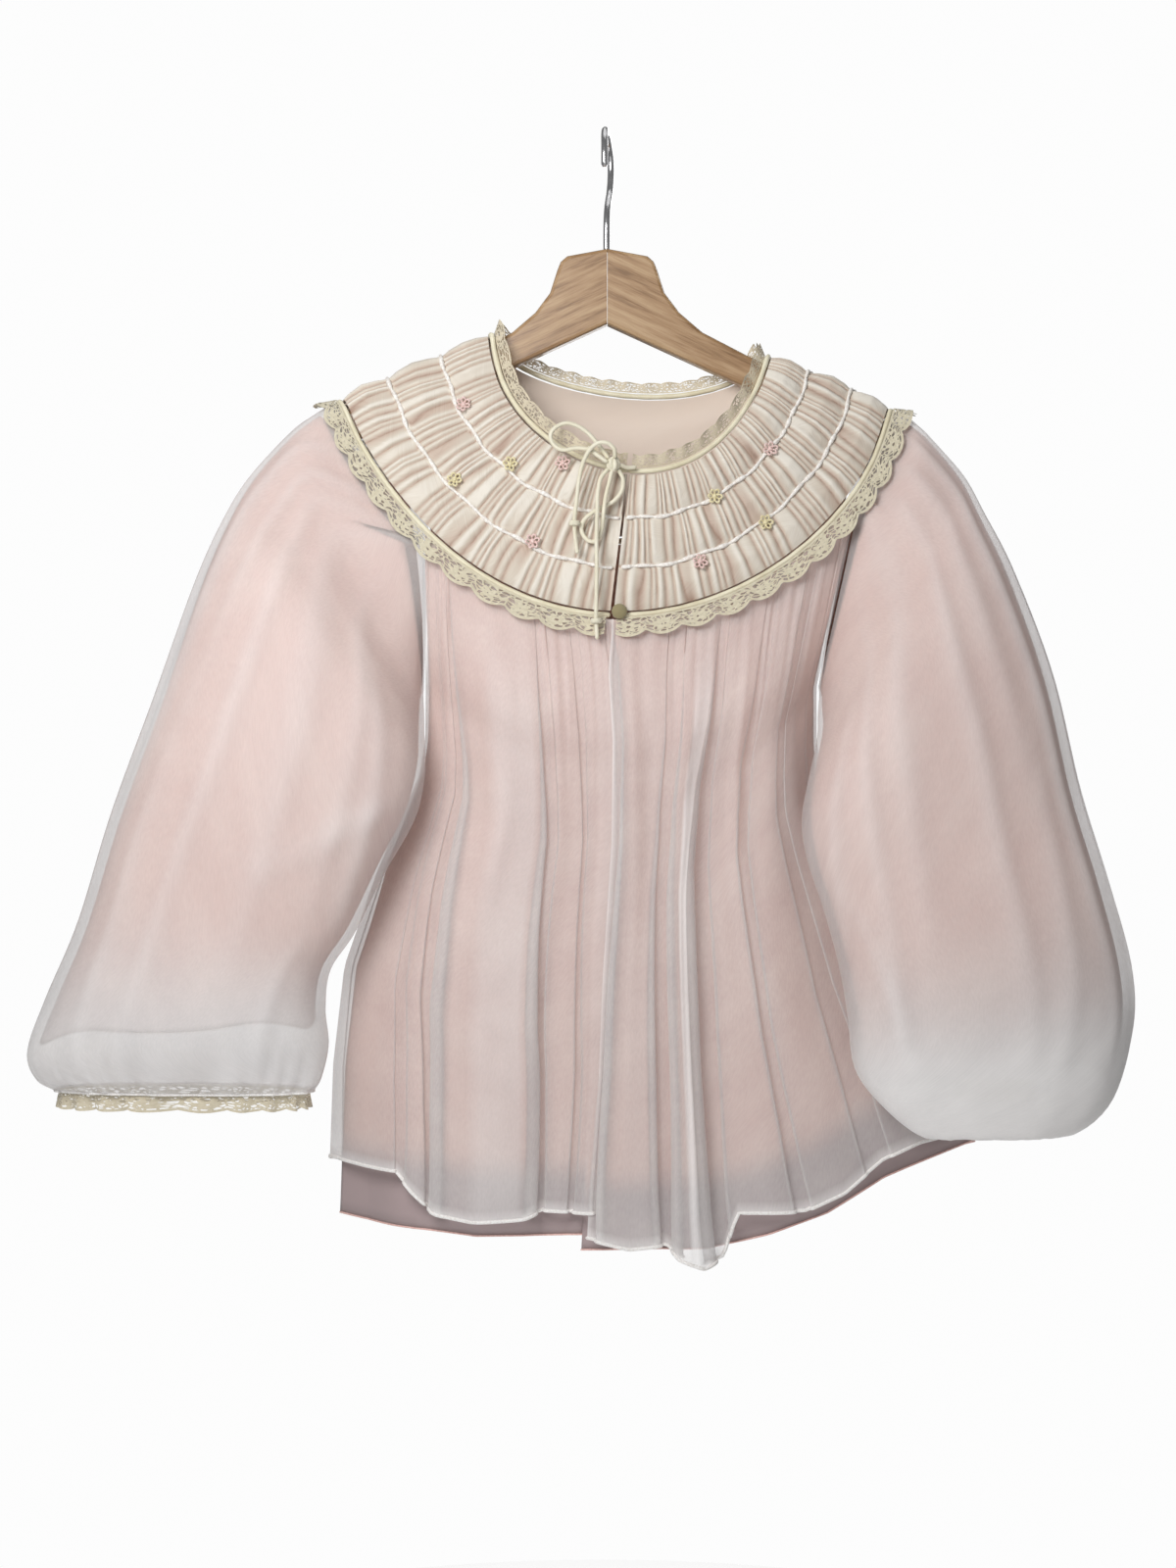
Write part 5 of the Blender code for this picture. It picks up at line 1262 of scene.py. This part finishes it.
def make_sleeve(name, rows, creases, right):
    """A sleeve's chiffon and the elastic in its cuff; returns the rings that its lining follows."""
    turns = np.linspace(-180, 180, SLEEVE_COLUMNS, endpoint=False)
    rings, outwards = sleeve_rings(rows, right, turns)
    last = len(rings) - 1
    blouson = last - BLOUSON_ROWS
    grid = []
    marks = []
    for t in np.linspace(0, 1, SLEEVE_ROWS):
        at = t * last
        down = min(1, at / (len(SLEEVE_LEFT) + 1))
        base = through(rings, at)
        outward = through(outwards, at)
        outward = outward / np.linalg.norm(outward, axis=1, keepdims=True)
        for c, turn in enumerate(turns):
            armhole = max(0, 1.0 - at / 2.6)
            place = (turn + 180) / 360.0 * SLEEVE_GATHERS
            seam = abs(math.sin(math.pi * (place + 0.3 * math.sin(place)))) ** 0.8
            rise = 1.3 * seam * armhole * (0.5 + unevenness(math.floor(place))) * (abs(turn) < RAGLAN_TURN)
            crest = crease_height(creases, turn, down) * ease(at / 0.8)
            pucker = max(0, (at - blouson) / (last - blouson))
            place = (turn + 180) / 360.0 * CUFF_PUCKERS
            ridge = abs(math.sin(math.pi * (place + 0.35 * math.sin(1.4 * place)))) ** 0.8
            rise += 1.9 * ridge * pucker ** 0.8 * (0.45 + 0.8 * unevenness(math.floor(place)))
            rise += 0.5 * (1.0 + ripple(turn / 11, 7.0 * t, 2 + right)) * ease((at - 0.6) / 1.5)
            inner = math.exp(-((180.0 - abs(turn)) / 35) ** 2)
            rise += UNDERARM_BULGE * inner * ease((at - 1) / 1.2) * ease((6.5 - at) / 2)
            base[c] += outward[c] * (rise + crest)
            # Painted highlight: pucker ridges near the cuff and crease crests are whitened; the lower part, the
            # turned-in cuff and the casing are denser cloth
            density_and_highlight = PUCKER_PAINTED_HIGHLIGHT * pucker * ridge ** 3 + LOWER_DENSE * ease((at - 7) / 3)
            density_and_highlight += TURNED_DENSE * right * ease((at - 9) / 1.5) + CUFF_DENSE * (at > last - 0.12)
            marks.append(min(1, CREASE_PAINTED_SHEEN * crest ** 1.5 + density_and_highlight))
        grid.append(base)
    piece = cloth_mesh(name + "_chiffon", grid, closed=True, flip=right, fold=marks)
    finish_piece(piece, CHIFFON, [name])
    cuff = np.concatenate([grid[-1], grid[-1][:1]])
    elastic = tube(name + "_elastic", cuff, 0.8, 8)
    finish_piece(elastic, HEM_THREAD)
    return rings, outwards


def make_sleeve_lining(name, rings, outwards, right, creases):
    """The lining's tube; its lower edge wanders up and down round the sleeve."""
    grid = []
    start, end = LINING_SLEEVE_ROWS
    places = np.linspace(-180, 180, SLEEVE_COLUMNS, endpoint=False)
    shares = np.linspace(0, 1, SLEEVE_LINING_ROWS)
    for share in shares:
        line = []
        for c in range(0, SLEEVE_COLUMNS, 2):
            turn = places[c]
            angle = math.radians(turn)
            wander = 0.42 * math.sin(angle + 0.5) + 0.22 * math.cos(2.0 * angle) + 0.10 * math.sin(5.0 * angle)
            at = mix(start, end + wander + (1.1 if right else 0.25), share)
            outward = through(outwards[:, c], at)
            rise = 0.35 * crease_height(creases, turn, at / (len(SLEEVE_LEFT) + 1)) * ease((at - 1.5) / 1.5)
            inset = read(LINING_SLEEVE_INSET, at) - min(rise, 0.8)
            line.append(through(rings[:, c], at) - outward / np.linalg.norm(outward) * inset)
        grid.append(line)
    grid = np.array(grid)
    pale = [[0.95 * ease((share - 0.74) / 0.26)] * grid.shape[1] for share in shares]
    piece = thicken(cloth_mesh(name + "_blush", grid, closed=True, flip=right, fold=pale), 0.4)
    finish_piece(piece, SLEEVE_LINING, [name])
    hem = np.concatenate([grid[-1], grid[-1][:1]])
    edge = cord_piece(name + "_edge", hem, 0.35, 8, HEM_THREAD)


def make_cuff_lace(name, row, up):
    """A ruffle of lace at a cuff: it hangs below the edge, or stands up inside a cuff that is turned in."""
    middle, half = ring_axis(row)
    places = np.linspace(0, CUFF_LACE_WAVES, CUFF_LACE_WAVES * 14 + 1)[:, None]
    turns = places * 2 * math.pi / CUFF_LACE_WAVES
    across, forward = boxy(np.cos(turns)), boxy(np.sin(turns))
    out = unit(np.hstack([across * math.copysign(1, row.outer_x - row.inner_x), -forward, 0.0 * across]))
    edge = middle + half * across - forward * np.array((0, row.half_depth, 0))
    depth = CUFF_LACE_DEPTH * (0.84 + 0.16 * scallop(places))
    wave = CUFF_LACE_WAVE * np.sin(2 * math.pi * places + 0.6 * np.sin(2 * places))
    way = np.array((0, 0, 1.0 if up else -1))
    shares = np.linspace(0, 1, 10)
    grid = np.array([edge + way * (depth * share + 0.3) + out * (wave * share - 0.5) for share in shares])
    piece = cloth_mesh(name + "_net", grid[:, :-1], closed=True, flip=(row.outer_x > row.inner_x) != up,
                       uv=lace_uv(places[:, 0], shares))
    finish_piece(piece, CUFF_NET, [name])


def make_sleeves():
    for name, rows, creases, right in (("sleeve_left", SLEEVE_LEFT, CREASES_LEFT, False),
                                       ("sleeve_right", SLEEVE_RIGHT, CREASES_RIGHT, True)):
        rings, outwards = make_sleeve(name, rows, creases, right)
        make_sleeve_lining("lining_" + name, rings, outwards, right, creases)
    make_cuff_lace("cuff_lace_left", SLEEVE_LEFT[-1], False)
    make_cuff_lace("cuff_lace_right", SLEEVE_RIGHT[-1], True)


# The small things
def make_flowers():
    """Small rosettes of looped petals round a knot of thread, sewn over the shirring."""
    for flower in FLOWERS:
        outward, upward = yoke_frame(flower.angle, flower.u)
        sideways = np.cross(outward, upward)
        middle = yoke_base(flower.angle, flower.u) + outward * (flower.back + 1)
        parts = []
        for petal in range(FLOWER_PETALS + 1):
            if petal == FLOWER_PETALS:
                bpy.ops.mesh.primitive_ico_sphere_add(subdivisions=3, radius=ROSETTE_HEART * MM)
            else:
                bpy.ops.mesh.primitive_torus_add(major_segments=22, minor_segments=8,
                                                 major_radius=PETAL_RING * MM, minor_radius=PETAL_TUBE * MM)
                bpy.ops.object.mode_set(mode="EDIT")
                bpy.ops.transform.resize(value=(1, 0.72, 1), center_override=(0, 0, 0))
                bpy.ops.transform.translate(value=(PETAL_REACH * MM, 0, 0))
                bpy.ops.object.mode_set(mode="OBJECT")
            loop = bpy.context.object
            turn = 2 * math.pi * (petal + 0.3 * unevenness(petal)) / FLOWER_PETALS
            along = math.cos(turn) * upward + math.sin(turn) * sideways
            tilt = 0.30 + 0.15 * unevenness(petal + flower.angle)
            reach = along * math.cos(tilt) + outward * math.sin(tilt)
            lift = outward * math.cos(tilt) - along * math.sin(tilt)
            side = np.cross(lift, reach)
            rise = 0.9 if petal == FLOWER_PETALS else 0.0
            for vertex in loop.data.vertices:
                x, y, z = vertex.co
                vertex.co = (middle + outward * rise) * MM + x * reach + y * side + z * lift
            parts.append(loop)
        rosette = joined(parts, flower.name + "_rosette")
        bpy.ops.object.shade_smooth()
        finish_piece(rosette, PETALS[flower.colour], [flower.name])


def make_button():
    """Covered button: a low dome with its cloth drawn in round the rim."""
    bpy.ops.mesh.primitive_uv_sphere_add(segments=40, ring_count=24, radius=1.0, rotation=(math.pi / 2, 0, 0))
    dome = bpy.context.object
    settle(dome)
    for vertex in dome.data.vertices:
        x, y, z = vertex.co
        reach = math.hypot(x, z)
        turn = math.atan2(z, x)
        pleat = 1.0 + 0.02 * math.sin(18 * turn) * (y > -0.3)
        flat = 0.80 if y < 0 else 1.0
        vertex.co = ((BUTTON[0] + BUTTON_SIZE[0] * x * pleat) * MM,
                     (BUTTON[1] + BUTTON_SIZE[1] * (y * flat - 0.06 * math.exp(-(reach / 0.3) ** 2) * (y > 0))) * MM,
                     (BUTTON[2] + BUTTON_SIZE[2] * z * pleat) * MM)
    dome.name = "button_dome"
    bpy.ops.object.shade_smooth()
    finish_piece(dome, BUTTON_CLOTH, ["button"])


def finish_hanger():
    """Wood for the two arms, and the hook as a finer chromed wire."""
    for name, slope in (("hanger_arm_left", 0.43), ("hanger_arm_right", -0.43)):
        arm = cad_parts[name]
        arm.data.materials.clear()
        arm.data.materials.append(wood_finish(name + "_beech", slope))
    centre_z = HOOK_WIRE_RADIUS - HOOK_RADIUS
    route = [(0.6, 0, HANGER_TOP[0].z + 0.3), (0.6, 0, -62), (0.7, 0.3, -53), (1.1, 3, -45),
             (1.8, 8.5, -38.5), (2.6, 14, -32.5)]
    for angle in range(-22, 200, 20):
        turn = math.radians(angle)
        lean = float(np.interp(angle, (-25, 10, 90, 130, 200), (3.2, 3.5, 0, -0.8, -0.8)))
        route.append((lean, HOOK_RADIUS * math.cos(turn), centre_z + HOOK_RADIUS * math.sin(turn)))
    cord_piece("hook_wire", smooth_route(route, 1.5), HOOK_WIRE_RADIUS, 24, CHROME, ["hanger_hook"])


# Floor and light
def make_stage():
    """A small round floor, white all round and four lamps."""
    bpy.ops.mesh.primitive_circle_add(vertices=96, radius=FLOOR_RADIUS, fill_type="NGON",
                                      location=(0, 0, FLOOR_Z * MM))
    floor = bpy.context.object
    floor.name = "floor"
    paint = Finish("pale_floor", 0.8, Specular_IOR_Level=0.1, Emission_Color=WHITE, Emission_Strength=0.45)
    speck = paint.noise(paint.spot, 3, 2)
    paint.tones(speck, *FLOOR_TONES)
    floor.data.materials.append(paint.made)
    world = bpy.data.worlds.new("studio")
    world.use_nodes = True
    tree = world.node_tree
    soft = tree.nodes["Background"]
    paper = tree.nodes.new("ShaderNodeBackground")
    for light, strength in ((soft, SOFT_LIGHT), (paper, PAPER_WHITE)):
        light.inputs["Color"].default_value = WHITE
        light.inputs["Strength"].default_value = strength
    seen = tree.nodes.new("ShaderNodeLightPath")
    join = tree.nodes.new("ShaderNodeMixShader")
    tree.links.new(seen.outputs["Is Camera Ray"], join.inputs[0])
    tree.links.new(soft.outputs[0], join.inputs[1])
    tree.links.new(paper.outputs[0], join.inputs[2])
    tree.links.new(join.outputs[0], tree.nodes["World Output"].inputs["Surface"])
    bpy.context.scene.world = world
    for lamp in LAMPS:
        data = bpy.data.lights.new(lamp.name, "AREA")
        data.energy = lamp.power
        data.size = lamp.size
        made = bpy.data.objects.new(lamp.name, data)
        made.location = lamp.place
        aim = np.subtract(LAMPS_AIM, lamp.place)
        pitch = math.acos(-aim[2] / np.linalg.norm(aim))
        made.rotation_euler = (pitch, 0, math.atan2(aim[1], aim[0]) - math.pi / 2)
        bpy.context.scene.collection.objects.link(made)
    bpy.context.scene.view_settings.view_transform = "Standard"


make_camera()
make_knot()
make_beads()
make_cords()
make_yoke()
make_pipings()
make_neck_lace()
make_yoke_lace()
make_body()
make_body_lining()
make_sleeves()
make_flowers()
make_button()
finish_hanger()
make_stage()
